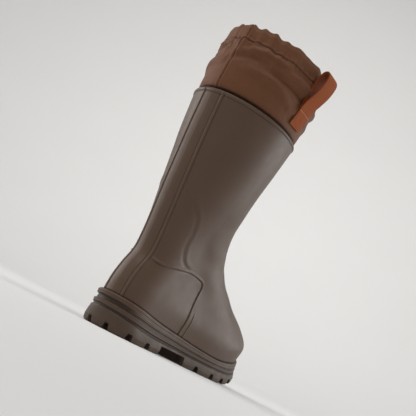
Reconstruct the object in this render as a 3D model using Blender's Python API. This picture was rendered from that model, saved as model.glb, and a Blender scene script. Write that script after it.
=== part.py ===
"""Left winter boot: hollow moulded upper, flared lugged sole, insole, cloth cuff and pull loop.

Worked in millimetres: X runs from the back of the sole to the toe, Y to the outer side of the foot,
Z up from the ground. The last step scales to metres and sets the origin under the heel.
"""

import math

import bmesh
import bpy
import numpy as np

MM = 0.001

# Driving sizes
FOOT_LENGTH = 288.0  # upper at the welt, heel to toe
HEEL_BACK = 4.0  # back of the upper at the welt, from the back of the sole
BALL_WIDTH = 93.0  # upper at the welt, across the ball
HEEL_HEIGHT = 41.0  # welt above the ground at the back of the heel
SHAFT_HEIGHT = 263.0  # welt to rim at the back
WALL = 2.8  # moulded wall of the upper
GAP = 0.3  # between pieces that meet
SEAM_FROM, SEAM_TO = 12.2, 15.2  # raised back seam, measured round the leg from the back
EDGE_HALF = 1.4  # half the width of the counter's raised edge
FLANK = 0.8  # run of a raised seam's flanks
RIDGE = 1.0  # height of the raised seams
RIM_BEAD, RIM_BEAD_OUT = 4.0, 0.7  # height and projection of the bead round the rim
LUG_DEPTH = 7.5
SHIELD_DEPTH = 5.0  # recess that holds the round studs
HEEL_RIM, TOE_RIM = 2.0, 4.5  # flat rim of each shield round that recess
CROSS_GROOVE = 4.2  # grooves this wide or wider start at the edge of the sole
GROOVE_MOUTH, GROOVE_END = 1.3, 0.8  # shares of their width that those have there and at their inner end
GROOVE_DRAFT, SHIELD_DRAFT, WAIST_DRAFT = 0.7, 0.5, 1.5  # how much each recess widens towards the ground
HEEL_STUD, TOE_STUD, STUD_TIP = 5.8, 4.8, 0.86  # radius at the foot, and share of it at the tip
STUD_CLEAR, STUD_ROOT = 0.6, 2.5  # tip above the ground, and foot sunk into the rubber
STUD_SIDES = 8
WAIST_HEIGHT = 11.0  # underside of the shank above the ground
SPRING_FROM, SPRING_TO, SPRING = 222.0, 303.0, 15.0  # where the toe lifts, its tip, and by how much
SPRING_CURVE = 1.8
INSOLE, INSOLE_CLEAR = 4.0, 0.6  # thickness, and room round the edge
CUFF_WALL = 1.6
LOOP_AT, LOOP_WIDTH, LOOP_THICK = 93.0, 27.0, 1.6  # pull loop: place along X, webbing width, thickness
HEEL_REST = 20.0  # flat of the heel that the origin sits on, from the back of the sole
BELOW_GROUND = 4.0  # where the shapes that cut the tread begin

# Points of a half section's quarters and waist: for measuring, and for the sole and the cuff
FINE, SOLE_POINTS, CUFF_POINTS = 90, 10, 9
CREASE = math.radians(35)  # edges sharper than this stay crisp

# Sections of the upper, from the welt to the rim. back and front are shares of FOOT_LENGTH, the two
# heights shares of SHAFT_HEIGHT over the welt, heel, outer and inner half-widths as shares of
# BALL_WIDTH. heel_at, outer_at and inner_at say how far along the section each width is reached, and
# the dips narrow the waist between them. edge is the front of the heel counter along FOOT_LENGTH.
# follow says how far the section keeps to the curved welt line.
COLUMNS = ("back", "back_up", "front", "front_up", "heel_at", "heel", "outer_at", "outer", "outer_dip",
           "inner_at", "inner", "inner_dip", "round_back", "round_front", "follow", "edge")
SECTIONS = [
    (.000, .000, 1.000, .000, .15, .317, .66, .538, .022, .73, .462, .043, 2.10, 2.40, 1.00, .403),  # welt
    (.006, .072, 1.014, .080, .15, .323, .66, .554, .022, .73, .473, .043, 2.05, 2.40, .80, .413),  # swell
    (.022, .144, .955, .154, .17, .317, .66, .500, .022, .72, .376, .050, 2.00, 2.20, .45, .427),  # tuck
    (.047, .217, .826, .222, .20, .312, .64, .425, .011, .68, .301, .036, 2.00, 2.00, .15, .441),  # counter
    (.047, .300, .667, .314, .28, .322, .58, .371, .000, .60, .292, .010, 2.00, 2.00, .00, .375),  # ankle
    (.040, .380, .583, .405, .36, .348, .54, .376, .000, .54, .344, .004, 2.00, 2.00, .00, .326),  # instep
    (.033, .464, .542, .498, .44, .409, .52, .415, .000, .52, .404, .000, 2.00, 2.00, .00, .292),  # shin
    (.024, .551, .531, .582, .48, .473, .52, .473, .000, .52, .473, .000, 1.95, 2.00, .00, .278),
    (.014, .673, .531, .696, .50, .548, .52, .548, .000, .52, .548, .000, 1.90, 2.00, .00, .278),  # calf
    (.003, .814, .545, .825, .50, .624, .52, .624, .000, .52, .624, .000, 1.88, 2.00, .00, .278),
    (-.007, 1.000, .569, .992, .50, .699, .52, .699, .000, .52, .699, .000, 1.85, 2.00, .00, .278),  # rim
]
LAST = len(SECTIONS) - 1
PER_ROW = SHAFT_HEIGHT * (SECTIONS[-1][1] - SECTIONS[-2][1])  # height of the topmost row of the table
# Rows of the upper's wall, counted in sections over the welt: the foot, the counter's raised top edge
# with its flanks, the shaft, and the bead
FOOT_ROWS = (0, .35, .7, 1.05, 1.4, 1.8, 2.2, 2.55)
COUNTER_ROWS = (2.89, 2.93, 3.07, 3.11)
SHAFT_ROWS = (3.5, 4, 4.5, 5, 5.5, 6, 6.7, 7.5, 8.4, 9.2)
BEAD_ROWS = (LAST - (RIM_BEAD + FLANK) / PER_ROW, LAST - RIM_BEAD / PER_ROW, LAST)
# Columns of the upper on either side, counted from the back: the crest of the back seam, the columns
# between it and the counter's edge, the crest of that edge, and the columns on to the toe
SEAM_CREST = (3, 4)
QUARTER_COLUMNS = 6
EDGE_CREST = (13, 14)
FRONT_COLUMNS, FRONT_CROWDING = 10, 1.15

# Outlines of the sole at the ground, where it flares most, and at the welt, in the same columns
SOLE_GROUND = (0.007, 0, 1.028, 0, .15, .392, .66, .613, .060, .72, .521, .045, 2.3, 2.2, 0, 0)
SOLE_FLARE = (-.005, 0, 1.038, 0, .15, .403, .66, .618, .060, .72, .527, .045, 2.3, 2.2, 0, 0)
SOLE_WELT = (-.006, 0, 1.016, 0, .15, .344, .66, .565, .022, .73, .489, .043, 2.2, 2.3, 0, 0)

# Height of the welt and of the joint between outsole and midsole along the sole: x, z
WELT_LINE = [(0, 41.5), (30, 39), (70, 34.5), (120, 31), (170, 27.5), (205, 26.5), (235, 28.5), (265, 33.5),
             (297, 42)]
JOINT_LINE = [(0, 22), (25, 18.5), (60, 15.5), (110, 14.2), (205, 13.6), (240, 14.6), (270, 19), (303, 28)]

# Side of the outsole: rise from ground to joint, blend from welt outline (0) to flare (1)
OUTSOLE_SIDE = [(0.36, 1.0), (0.70, 0.82), (1.0, 0.52)]
# Side of the midsole: rise from joint to welt, blend to the flare, step out, extra step at the heel back
MIDSOLE_SIDE = [
    (0.00, .40, -1.4, 0.0), (0.12, .38, -1.4, 0.0), (0.17, .36, 0.0, 0.4), (0.36, .28, 0.2, 0.8),
    (0.41, .24, -1.0, 0.4), (0.50, .20, -1.0, -0.6), (0.54, .18, 0.2, -1.6), (0.66, .10, 0.2, -1.8),
    (0.70, .08, 0.2, 1.4), (0.92, .00, 0.2, 1.6), (1.00, .00, -0.7, 0.6),
]
KICK_FROM, KICK_TO = 10.0, 30.0  # the kick ledge fades out between these, from the back of the sole

# Grooves of the tread: width, then the points of the centre line. The wide ones start at the edge of the
# sole and narrow inwards, the others run beside it.
GROOVES = [
    # outer side of the heel
    (5.0, (-3, 11), (17, 7)), (4.0, (21, 19.5), (30, 10.5)), (6.5, (18, 44), (29, 26), (58, 14.5)),
    (5.4, (58, 46), (64, 30), (66, 12)), (6.0, (94, 18), (68, 13)),
    (4.0, (33, 27), (62, 27.5)), (4.0, (66, 28.5), (94, 30.5)),
    # inner side of the heel
    (5.2, (-4, -19), (18, -8.5)), (3.2, (20, -21), (30, -12)), (7.0, (20, -46), (37, -21)),
    (5.4, (56, -49), (65, -34), (67, -15)), (6.0, (94, -18), (69, -12)),
    (4.0, (38, -26), (62, -29)), (4.0, (67, -28.5), (94, -30.5)),
    # outer side of the forefoot
    (5.4, (156, 62), (165, 46), (176, 37), (182, 28)), (5.4, (194, 66), (202, 46), (204, 32)),
    (5.2, (221, 64), (228, 42), (231, 25)), (5.0, (247, 58), (252, 38), (253, 22)),
    (4.6, (270, 46), (264, 17)),
    (4.0, (147, 31), (167, 39.5)), (4.0, (179, 44), (199, 47)), (4.0, (205, 47), (226, 45)),
    (4.0, (230, 43.5), (249, 38)), (4.0, (253, 36), (267, 27)),
    # inner side of the forefoot
    (5.4, (156, -62), (171, -43), (180, -36), (181, -22)), (5.2, (196, -62), (206, -47), (212, -25)),
    (5.2, (224, -62), (237, -42), (231, -22)), (5.0, (254, -54), (260, -38), (260, -22)),
    (4.6, (280, -44), (268, -15)),
    (3.6, (147, -26), (171, -34.5)), (3.6, (182, -37), (204, -40.5)), (3.6, (210, -41), (233, -41)),
    (3.6, (241, -38), (258, -34)), (3.6, (262, -33), (275, -23)),
    # waist and toe
    (4.4, (141, 4), (161, 3)), (4.4, (292, 30), (276, 12)), (4.4, (308, -3), (271, -1)),
    (4.0, (265, 18), (271, 1), (267, -16)),
]
WAIST_CUT = [(90, -70), (90, 70), (141, 70), (143, 37), (157, 21), (147, 0), (157, -21), (143, -36),
             (141, -70)]
HEEL_SHIELD = [(27.5, -4), (29.5, 4), (35.5, 10), (45, 12.5), (56, 11), (64, 5.5), (68, -4), (64, -13.5),
               (56, -19), (45, -20.5), (35.5, -18), (29.5, -12)]
TOE_SHIELD = [(160, 1), (171, 14), (184, 26), (197, 33), (207, 28.5), (220, 22.5), (240, 22.5),
              (256, 18.5), (264, 2), (260, -17), (247, -23.5), (226, -18), (208, -22.5), (198, -29),
              (184, -22), (171, -12)]
HEEL_STUDS = [(36.5, -4), (49.5, 5), (49.5, -11), (60, -3.5)]
TOE_STUDS = [(175, -3), (187, 8), (187, -8), (200, 16), (204, 2), (203, -13), (215.5, 11), (217, -5.5),
             (230, 2.5), (231, 13.5), (234, -9.5), (243.5, 7), (248, -8), (254, 3)]

# Cuff: height over the rim, inset from the outline of the rim's outer face, lean to the inner side
CUFF_SECTIONS = [(-10.0, 3.4, 0.0), (0.0, 3.5, 0.0), (3.0, 3.2, 0.0), (14.0, 1.8, 0.6), (32.0, 0.2, 2.0),
                 (50.0, -0.4, 3.4), (68.0, -0.4, 4.5), (70.0, 0.6, 4.6), (84.0, 0.9, 5.2), (90.0, 2.6, 5.4)]
# Pull loop, seen along the webbing's edge: distance out from the rim, height over it
LOOP_PATH = [(2.1, 27.0), (2.9, 32.0), (4.3, 43.0), (5.4, 56.0), (7.2, 69.0), (10.4, 80.0), (14.3, 86.5),
             (18.6, 87.5), (21.4, 83.0), (21.2, 75.5), (18.6, 65.0), (13.6, 54.0), (8.2, 43.5), (5.3, 34.0),
             (4.1, 27.0), (2.2, 19.5), (0.2, 12.0)]


def spline(table, x):
    """Smooth curve through (x, y) rows, with slopes from the neighbouring rows."""
    table = np.asarray(table, float)
    xs, ys = table[:, 0], table[:, 1]
    slope = np.gradient(ys, xs)
    x = np.clip(x, xs[0], xs[-1])
    k = np.clip(np.searchsorted(xs, x) - 1, 0, len(xs) - 2)
    step = xs[k + 1] - xs[k]
    t = (x - xs[k]) / step
    return ((1 + 2 * t) * (1 - t) ** 2 * ys[k] + t * (1 - t) ** 2 * step * slope[k]
            + t * t * (3 - 2 * t) * ys[k + 1] + t * t * (t - 1) * step * slope[k + 1])


def smooth(t):
    t = np.clip(t, 0, 1)
    return t * t * (3 - 2 * t)


def spring(x):
    """Lift of the tread over the ground: none to the ball, then rising to the toe."""
    t = np.clip((np.asarray(x, float) - SPRING_FROM) / (SPRING_TO - SPRING_FROM), 0, None)
    return SPRING * t ** SPRING_CURVE


def section_at(u):
    """The section u rows above the welt, as a dictionary in millimetres."""
    rows = np.asarray(SECTIONS, float)
    number = np.arange(len(rows))
    return sized([float(spline(np.stack([number, rows[:, c]], 1), u)) for c in range(rows.shape[1])])


def sized(row):
    """A row of shares as a dictionary in millimetres."""
    s = dict(zip(COLUMNS, row))
    for name in ("back", "front", "edge"):
        s[name] = HEEL_BACK + FOOT_LENGTH * s[name]
    for name in ("back_up", "front_up"):
        s[name] = HEEL_HEIGHT + SHAFT_HEIGHT * s[name]
    for name in ("heel", "outer", "inner", "outer_dip", "inner_dip"):
        s[name] = BALL_WIDTH * s[name]
    return s


def half_section(s, side, n):
    """One side of a section from the back to the front: a quarter round the heel, the waist, a quarter
    round the toe. Points are x, y, z."""
    name = "outer" if side > 0 else "inner"
    at, ball, dip = s[name + "_at"], s[name], s[name + "_dip"]
    a = np.linspace(0, math.pi / 2, n)
    u = np.linspace(0, 1, n)[1:-1]
    back, front = 2 / s["round_back"], 2 / s["round_front"]
    cos, sin = np.clip(np.cos(a), 0, 1), np.sin(a)
    t = np.concatenate([s["heel_at"] * (1 - cos ** back), s["heel_at"] + (at - s["heel_at"]) * u,
                        at + (1 - at) * cos[::-1] ** front])
    w = np.concatenate([s["heel"] * sin ** back,
                        s["heel"] + (ball - s["heel"]) * smooth(u) - dip * np.sin(math.pi * u) ** 2,
                        ball * sin[::-1] ** front])
    x = s["back"] + (s["front"] - s["back"]) * t
    z = s["back_up"] + (s["front_up"] - s["back_up"]) * t
    z = z + s["follow"] * (spline(WELT_LINE, x) - HEEL_HEIGHT)
    return np.stack([x, side * w, z], 1)


def ring(outer, inner):
    """Closed loop from two halves that share their ends: up the outer side, back along the inner."""
    return np.concatenate([outer, inner[-2:0:-1]])


def upper_half(s, side):
    """Half a section with a point on each line of the upper: the back seam, then the counter's edge."""
    dense = half_section(s, side, FINE)
    along = np.concatenate([[0], np.cumsum(np.linalg.norm(np.diff(dense, axis=0), axis=1))])
    edge = np.interp(s["edge"], dense[:, 0], along)
    back = [0, SEAM_FROM / 2, SEAM_FROM - FLANK, SEAM_FROM, SEAM_TO, SEAM_TO + FLANK]
    border = [edge - EDGE_HALF - FLANK, edge - EDGE_HALF, edge + EDGE_HALF, edge + EDGE_HALF + FLANK]
    quarter = np.linspace(back[-1], border[0], QUARTER_COLUMNS + 2)[1:-1]
    front = 1 - (1 - np.linspace(0, 1, FRONT_COLUMNS + 1)[1:]) ** FRONT_CROWDING
    places = [*back, *quarter, *border, *(border[-1] + (along[-1] - border[-1]) * front)]
    return np.stack([np.interp(places, along, dense[:, c]) for c in range(3)], 1)


def grid_normals(loops):
    """Outward unit normals of a tube of loops."""
    along = np.roll(loops, -1, 1) - np.roll(loops, 1, 1)
    up = np.gradient(loops, axis=0)
    n = np.cross(up, along)
    n /= np.linalg.norm(n, axis=2, keepdims=True)
    middle = loops.mean(axis=1, keepdims=True)
    return n if ((loops - middle) * n).sum() > 0 else -n


def outward(loop):
    """Unit normals of a loop in plan, pointing out of it."""
    along = np.roll(loop, -1, 0) - np.roll(loop, 1, 0)
    n = np.stack([-along[:, 1], along[:, 0], 0 * along[:, 0]], 1)
    n /= np.linalg.norm(n, axis=1, keepdims=True)
    return n if ((loop - loop.mean(axis=0)) * n).sum() > 0 else -n


def add_object(name, points, faces, material, parent):
    mesh = bpy.data.meshes.new(name)
    mesh.from_pydata((np.asarray(points) * MM).tolist(), [], faces)
    shell = bmesh.new()
    shell.from_mesh(mesh)
    bmesh.ops.recalc_face_normals(shell, faces=shell.faces)
    if shell.calc_volume(signed=True) < 0:
        bmesh.ops.reverse_faces(shell, faces=shell.faces)
    shell.to_mesh(mesh)
    shell.free()
    mesh.shade_smooth()
    mesh.set_sharp_from_angle(angle=CREASE)
    obj = bpy.data.objects.new(name, mesh)
    bpy.context.scene.collection.objects.link(obj)
    obj.parent = parent
    if material:
        mesh.materials.append(material)
    return obj


def tube_faces(rows, columns, wrap):
    """Quads between neighbouring loops, and from the last loop back to the first if wrap is set."""
    faces = []
    for r in range(rows if wrap else rows - 1):
        for c in range(columns):
            a, b = r * columns + c, r * columns + (c + 1) % columns
            up = columns * ((r + 1) % rows)
            faces.append((a, b, up + (c + 1) % columns, up + c))
    return faces


def cap_faces(first, columns):
    """Flat cover of a loop: rungs between the points that face each other across it."""
    half = columns // 2
    faces = [(first, first + 1, first + columns - 1)]
    for i in range(1, half - 1):
        faces.append((first + i, first + i + 1, first + columns - i - 1, first + columns - i))
    faces.append((first + half - 1, first + half, first + half + 1))
    return faces


def add_tube(name, loops, material, parent):
    """Ring-shaped solid: the loops go up its outside and down its inside."""
    loops = np.asarray(loops)
    rows, columns = loops.shape[:2]
    return add_object(name, loops.reshape(-1, 3), tube_faces(rows, columns, True), material, parent)


def add_slab(name, loops, material, parent):
    """Solid between a bottom loop and a top loop, with the loops between them as its side."""
    loops = np.asarray(loops)
    rows, columns = loops.shape[:2]
    caps = cap_faces(0, columns) + cap_faces((rows - 1) * columns, columns)
    faces = tube_faces(rows, columns, False) + caps
    return add_object(name, loops.reshape(-1, 3), faces, material, parent)


def material(name, colour, roughness):
    made = bpy.data.materials.new(name)
    made.use_nodes = True
    shader = made.node_tree.nodes["Principled BSDF"]
    shader.inputs["Base Color"].default_value = (*colour, 1)
    shader.inputs["Roughness"].default_value = roughness
    return made


def raised(row, column):
    """How far the outer wall stands out at a row and at a column counted from the back."""
    if row in BEAD_ROWS[1:]:
        return RIM_BEAD_OUT
    seam = column in SEAM_CREST
    front = column in EDGE_CREST and row <= COUNTER_ROWS[2]
    top = row in COUNTER_ROWS[1:3] and SEAM_CREST[1] <= column <= EDGE_CREST[1]
    return RIDGE if seam or front or top else 0


def upper_loops():
    """Outer and inner loops of the upper, with its raised seams as steps of the outer wall."""
    rows = FOOT_ROWS + COUNTER_ROWS + SHAFT_ROWS + BEAD_ROWS
    sections = [section_at(row) for row in rows]
    loops = np.stack([ring(upper_half(s, 1), upper_half(s, -1)) for s in sections])
    normals = grid_normals(loops)
    columns = loops.shape[1]
    step = np.array([[raised(row, min(c, columns - c)) for c in range(columns)] for row in rows])
    outer = loops + normals * step[:, :, None]
    inner = loops - normals * WALL
    rim = sections[-1]
    ends, heights = (rim["back"], rim["front"]), (rim["back_up"], rim["front_up"])
    for wall in (outer, inner):
        wall[0, :, 2] = spline(WELT_LINE, wall[0, :, 0])
        wall[-1, :, 2] = np.interp(wall[-1, :, 0], ends, heights)
    return outer, inner


def sole_outline(blend):
    """Outline between the welt (blend 0) and the flare (1), without heights."""
    halves = []
    for side in (1, -1):
        welt, flare = (half_section(sized(row), side, SOLE_POINTS) for row in (SOLE_WELT, SOLE_FLARE))
        halves.append(welt + (flare - welt) * blend)
    return ring(*halves)


def outsole_loops():
    ground = ring(*[half_section(sized(SOLE_GROUND), side, SOLE_POINTS) for side in (1, -1)])
    ground[:, 2] = spring(ground[:, 0])
    loops = [ground]
    for rise, blend in OUTSOLE_SIDE:
        loop = sole_outline(blend)
        low, high = spring(loop[:, 0]), spline(JOINT_LINE, loop[:, 0])
        loop[:, 2] = low + (high - low) * rise
        loops.append(loop)
    return loops


def midsole_loops():
    loops = []
    for rise, blend, out, kick in MIDSOLE_SIDE:
        loop = sole_outline(blend)
        back = 1 - smooth((loop[:, 0] - KICK_FROM) / (KICK_TO - KICK_FROM))
        loop = loop + outward(loop) * (out + kick * back)[:, None]
        low, high = spline(JOINT_LINE, loop[:, 0]) + GAP, spline(WELT_LINE, loop[:, 0]) - GAP
        loop[:, 2] = low + (high - low) * rise
        loops.append(loop)
    return loops


def insole_loops(inner):
    loop = inner[0] - outward(inner[0]) * INSOLE_CLEAR
    low, high = loop.copy(), loop.copy()
    low[:, 2] = spline(WELT_LINE, loop[:, 0]) + GAP
    high[:, 2] = low[:, 2] + INSOLE
    return [low, high]


def cuff_loops():
    outer, inner = [], []
    for up, inset, lean in CUFF_SECTIONS:
        s = section_at(LAST + min(up, 0) / PER_ROW)
        loop = ring(*[half_section(s, side, CUFF_POINTS) for side in (1, -1)])
        loop += (0, -lean, max(up, 0))
        normal = outward(loop)
        outer.append(loop - normal * inset)
        inner.append(loop - normal * (inset + CUFF_WALL))
    return outer + inner[::-1]


def beside(line, distance):
    """Points at a distance to the left and to the right of a line in a plane."""
    line = np.asarray(line, float)
    along = np.gradient(line, axis=0)
    along /= np.linalg.norm(along, axis=1, keepdims=True)
    side = np.stack([-along[:, 1], along[:, 0]], 1) * distance
    return line + side, line - side


def add_pull_loop(webbing, parent):
    rim = half_section(section_at(LAST), -1, FINE)
    under = abs(rim[:, 0] - LOOP_AT) <= LOOP_WIDTH / 2
    y = rim[under, 1].min()
    z = np.interp(LOOP_AT, rim[:, 0], rim[:, 2])
    one, other = beside(LOOP_PATH, LOOP_THICK / 2)
    profile = np.concatenate([one, other[::-1]])
    points = [(LOOP_AT + side * LOOP_WIDTH / 2, y - out, z + up) for side in (-1, 1) for out, up in profile]
    count, strip = len(profile), len(LOOP_PATH)
    faces = [(i, (i + 1) % count, count + (i + 1) % count, count + i) for i in range(count)]
    for first in (0, count):
        faces += [(first + i, first + i + 1, first + count - i - 2, first + count - i - 1)
                  for i in range(strip - 1)]
    return add_object("pull_loop", points, faces, webbing, parent)


def drum(low, high):
    """Points and faces of a closed shape between two loops of as many points."""
    count = len(low)
    faces = [(i, (i + 1) % count, count + (i + 1) % count, count + i) for i in range(count)]
    return np.concatenate([low, high]), faces + [tuple(range(count)), tuple(range(count, 2 * count))]


def recess(outline, depth, draft):
    """Cutter over a tread outline: from below the ground up to a depth into it, narrowing by draft."""
    high = np.array([(x, y, 0) for x, y in outline], float)
    low = high + outward(high) * draft
    low[:, 2] = spring(low[:, 0]) - BELOW_GROUND
    high[:, 2] = spring(high[:, 0]) + depth
    return drum(low, high)


def inside(outline, rim):
    """Outline of a shield's recess, within its rim."""
    points = np.array([(x, y, 0) for x, y in outline], float)
    return (points - outward(points) * rim)[:, :2]


def groove(width, *line):
    """Outline of a groove round its centre line."""
    ends = (GROOVE_MOUTH, GROOVE_END) if width >= CROSS_GROOVE else (1, 1)
    left, right = beside(line, width / 2 * np.linspace(*ends, len(line))[:, None])
    return np.concatenate([left, right[::-1]])


def stud(x, y, radius):
    """Round stud that stands in a shield recess, its foot sunk into the rubber."""
    a = 2 * math.pi * (np.arange(STUD_SIDES) + 0.5) / STUD_SIDES
    circle = radius * np.stack([np.cos(a), np.sin(a), 0 * a], 1)
    low, high = (x, y, 0) + circle * STUD_TIP, (x, y, 0) + circle
    low[:, 2] = spring(low[:, 0]) + STUD_CLEAR
    high[:, 2] = spring(high[:, 0]) + SHIELD_DEPTH + STUD_ROOT
    return drum(low, high)


def add_cutter(name, shapes, parent):
    """Helper that a Boolean reads: the separate closed shapes of one tool."""
    points, faces, first = [], [], 0
    for shape_points, shape_faces in shapes:
        points.append(shape_points)
        faces += [tuple(first + i for i in face) for face in shape_faces]
        first += len(shape_points)
    obj = add_object(name, np.concatenate(points), faces, None, parent)
    obj.hide_render = True
    obj.display_type = "WIRE"
    return obj


def boolean(obj, other, operation):
    modifier = obj.modifiers.new(other.name, "BOOLEAN")
    modifier.operation = operation
    modifier.object = other
    modifier.solver = "EXACT"
    modifier.use_self = operation == "DIFFERENCE"


def add_outsole(rubber, parent):
    outsole = add_slab("outsole", outsole_loops(), rubber, parent)
    grooves = [recess(groove(*row), LUG_DEPTH, GROOVE_DRAFT) for row in GROOVES]
    shields = [recess(inside(outline, rim), SHIELD_DEPTH, SHIELD_DRAFT)
               for outline, rim in ((HEEL_SHIELD, HEEL_RIM), (TOE_SHIELD, TOE_RIM))]
    waist = recess(WAIST_CUT, WAIST_HEIGHT, WAIST_DRAFT)
    boolean(outsole, add_cutter("tread_grooves", grooves, parent), "DIFFERENCE")
    boolean(outsole, add_cutter("shield_recesses", shields, parent), "DIFFERENCE")
    boolean(outsole, add_cutter("waist_recess", [waist], parent), "DIFFERENCE")
    studs = [stud(x, y, HEEL_STUD) for x, y in HEEL_STUDS] + [stud(x, y, TOE_STUD) for x, y in TOE_STUDS]
    boolean(outsole, add_cutter("studs", studs, parent), "UNION")
    return outsole


def main():
    for obj in list(bpy.data.objects):
        bpy.data.objects.remove(obj, do_unlink=True)
    bpy.context.scene.unit_settings.system = "METRIC"
    boot = bpy.data.objects.new("boot_origin", None)
    bpy.context.scene.collection.objects.link(boot)
    boot.location = (-HEEL_REST * MM, 0, 0)

    outer, inner = upper_loops()
    add_tube("upper", np.concatenate([outer, inner[::-1]]),
             material("moulded taupe rubber", (0.115, 0.084, 0.063), 0.45), boot)
    add_slab("midsole", midsole_loops(), material("sidewall rubber", (0.098, 0.071, 0.053), 0.5), boot)
    add_outsole(material("outsole rubber", (0.047, 0.034, 0.026), 0.6), boot)
    add_slab("insole", insole_loops(inner), material("felt insole", (0.24, 0.22, 0.2), 0.95), boot)
    add_tube("cuff", cuff_loops(), material("brown nylon", (0.112, 0.047, 0.025), 0.7), boot)
    add_pull_loop(material("orange webbing", (0.352, 0.117, 0.042), 0.8), boot)


main()
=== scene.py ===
"""Left winter boot, dressed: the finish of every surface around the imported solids.

Tables and sections are in millimetres in the boot's own axes: X from the back of the sole to the toe,
Y to the outer side of the foot, Z up from the ground. Pieces are placed in metres in the frame's axes,
whose origin lies under the heel.
"""

import math

import bmesh
import bpy
import numpy as np
from bpy.props import FloatProperty, FloatVectorProperty, PointerProperty
from mathutils import Matrix, Vector


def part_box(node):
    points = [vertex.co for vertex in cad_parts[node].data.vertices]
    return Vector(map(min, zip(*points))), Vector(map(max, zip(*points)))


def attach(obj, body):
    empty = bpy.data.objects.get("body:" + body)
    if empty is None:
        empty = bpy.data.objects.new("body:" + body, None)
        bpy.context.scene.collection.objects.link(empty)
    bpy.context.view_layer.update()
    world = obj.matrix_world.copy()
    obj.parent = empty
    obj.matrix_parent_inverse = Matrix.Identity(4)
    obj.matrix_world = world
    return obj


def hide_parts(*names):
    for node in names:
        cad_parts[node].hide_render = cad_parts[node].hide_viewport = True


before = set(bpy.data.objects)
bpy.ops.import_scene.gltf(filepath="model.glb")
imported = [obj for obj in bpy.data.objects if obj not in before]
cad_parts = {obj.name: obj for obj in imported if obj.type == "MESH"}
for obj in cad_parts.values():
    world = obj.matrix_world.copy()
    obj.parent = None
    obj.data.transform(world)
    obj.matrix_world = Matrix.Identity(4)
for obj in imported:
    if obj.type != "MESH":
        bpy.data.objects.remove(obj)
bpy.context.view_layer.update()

bl_info = {
    "name": "Winter boot",
    "version": (1, 0, 0),
    "blender": (4, 5, 0),
    "location": "3D View > Sidebar > Boot",
    "description": "Dresses the solids of a left winter boot with moulded rubber, nylon and webbing",
    "category": "Object",
}

MM = 0.001
WELD = 1e-6  # points closer than this, in metres, are one


def box_mm(node):
    """Lowest and highest corner of a solid, in millimetres in the frame's axes."""
    return [np.array(corner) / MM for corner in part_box(node)]


# Driving sizes, read from the solids where they show there
HEEL_REST = 20.0  # frame's origin from the back of the sole
RIM = box_mm("upper")[1][2]  # height of the rim
HEEL_HEIGHT = 41.0  # welt above the ground at the back of the heel
SHAFT_HEIGHT = RIM - HEEL_HEIGHT
FOOT_LENGTH = 288.0  # upper at the welt
HEEL_BACK = 4.0  # back of the upper at the welt, from the back of the sole
BALL_WIDTH = 93.0  # upper at the welt, across the ball
GAP = 0.3  # between pieces that meet
CUFF_TOP = box_mm("cuff")[1][2] - RIM  # hem above the rim
LOOP_LOW, LOOP_HIGH = box_mm("pull_loop")

# Sections of the upper from the welt to the rim, as shares of the driving sizes. back and front are along
# the foot, the two heights over the welt, then half-widths at the heel, the outer and the inner ball with
# the place where each is reached. The dips narrow the waist, the two rounds square off the ends, follow
# keeps a section to the curved welt, and edge is the front of the heel counter.
COLUMNS = ("back", "back_up", "front", "front_up", "heel_at", "heel", "outer_at", "outer", "outer_dip",
           "inner_at", "inner", "inner_dip", "round_back", "round_front", "follow", "edge")
SECTIONS = [
    (.000, .000, 1.000, .000, .15, .317, .66, .538, .022, .73, .462, .043, 2.10, 2.40, 1.00, .403),  # welt
    (.006, .072, 1.014, .080, .15, .323, .66, .554, .022, .73, .473, .043, 2.05, 2.40, .80, .413),  # swell
    (.022, .144, .955, .154, .17, .317, .66, .500, .022, .72, .376, .050, 2.00, 2.20, .45, .427),  # tuck
    (.047, .217, .826, .222, .20, .312, .64, .425, .011, .68, .301, .036, 2.00, 2.00, .15, .441),  # counter
    (.047, .300, .667, .314, .28, .322, .58, .371, .000, .60, .292, .010, 2.00, 2.00, .00, .375),  # ankle
    (.040, .380, .583, .405, .36, .348, .54, .376, .000, .54, .344, .004, 2.00, 2.00, .00, .326),  # instep
    (.033, .464, .542, .498, .44, .409, .52, .415, .000, .52, .404, .000, 2.00, 2.00, .00, .292),  # shin
    (.024, .551, .531, .582, .48, .473, .52, .473, .000, .52, .473, .000, 1.95, 2.00, .00, .278),
    (.014, .673, .531, .696, .50, .548, .52, .548, .000, .52, .548, .000, 1.90, 2.00, .00, .278),  # calf
    (.003, .814, .545, .825, .50, .624, .52, .624, .000, .52, .624, .000, 1.88, 2.00, .00, .278),
    (-.007, 1.000, .569, .992, .50, .699, .52, .699, .000, .52, .699, .000, 1.85, 2.00, .00, .278),  # rim
]
LAST = len(SECTIONS) - 1
LEVELS = np.arange(LAST + 1)  # numbers of the sections
# Outlines of the sole at the ground, where it flares most, and at the welt, in the same columns
SOLE_GROUND = (.007, 0, 1.028, 0, .15, .392, .66, .613, .060, .72, .521, .045, 2.3, 2.2, 0, 0)
SOLE_FLARE = (-.005, 0, 1.038, 0, .15, .403, .66, .618, .060, .72, .527, .045, 2.3, 2.2, 0, 0)
SOLE_WELT = (-.006, 0, 1.016, 0, .15, .344, .66, .565, .022, .73, .489, .043, 2.2, 2.3, 0, 0)
# Height of the welt, and of the joint between tread and sidewall, along the sole: x, z
WELT_LINE = [(0, 41.5), (30, 39), (70, 34.5), (120, 31), (170, 27.5), (205, 26.5), (235, 28.5), (265, 33.5),
             (297, 42)]
JOINT_LINE = [(0, 22), (25, 18.5), (60, 15.5), (110, 14.2), (205, 13.6), (240, 14.6), (270, 19), (303, 28)]
SPRING_FROM, SPRING_TO, SPRING, SPRING_CURVE = 222.0, 303.0, 15.0, 1.8  # lift of the toe
FINE = 90  # points of each stretch of a half section that is measured
LEVEL_STEPS = 400  # steps in which the height of a section is looked up

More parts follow.
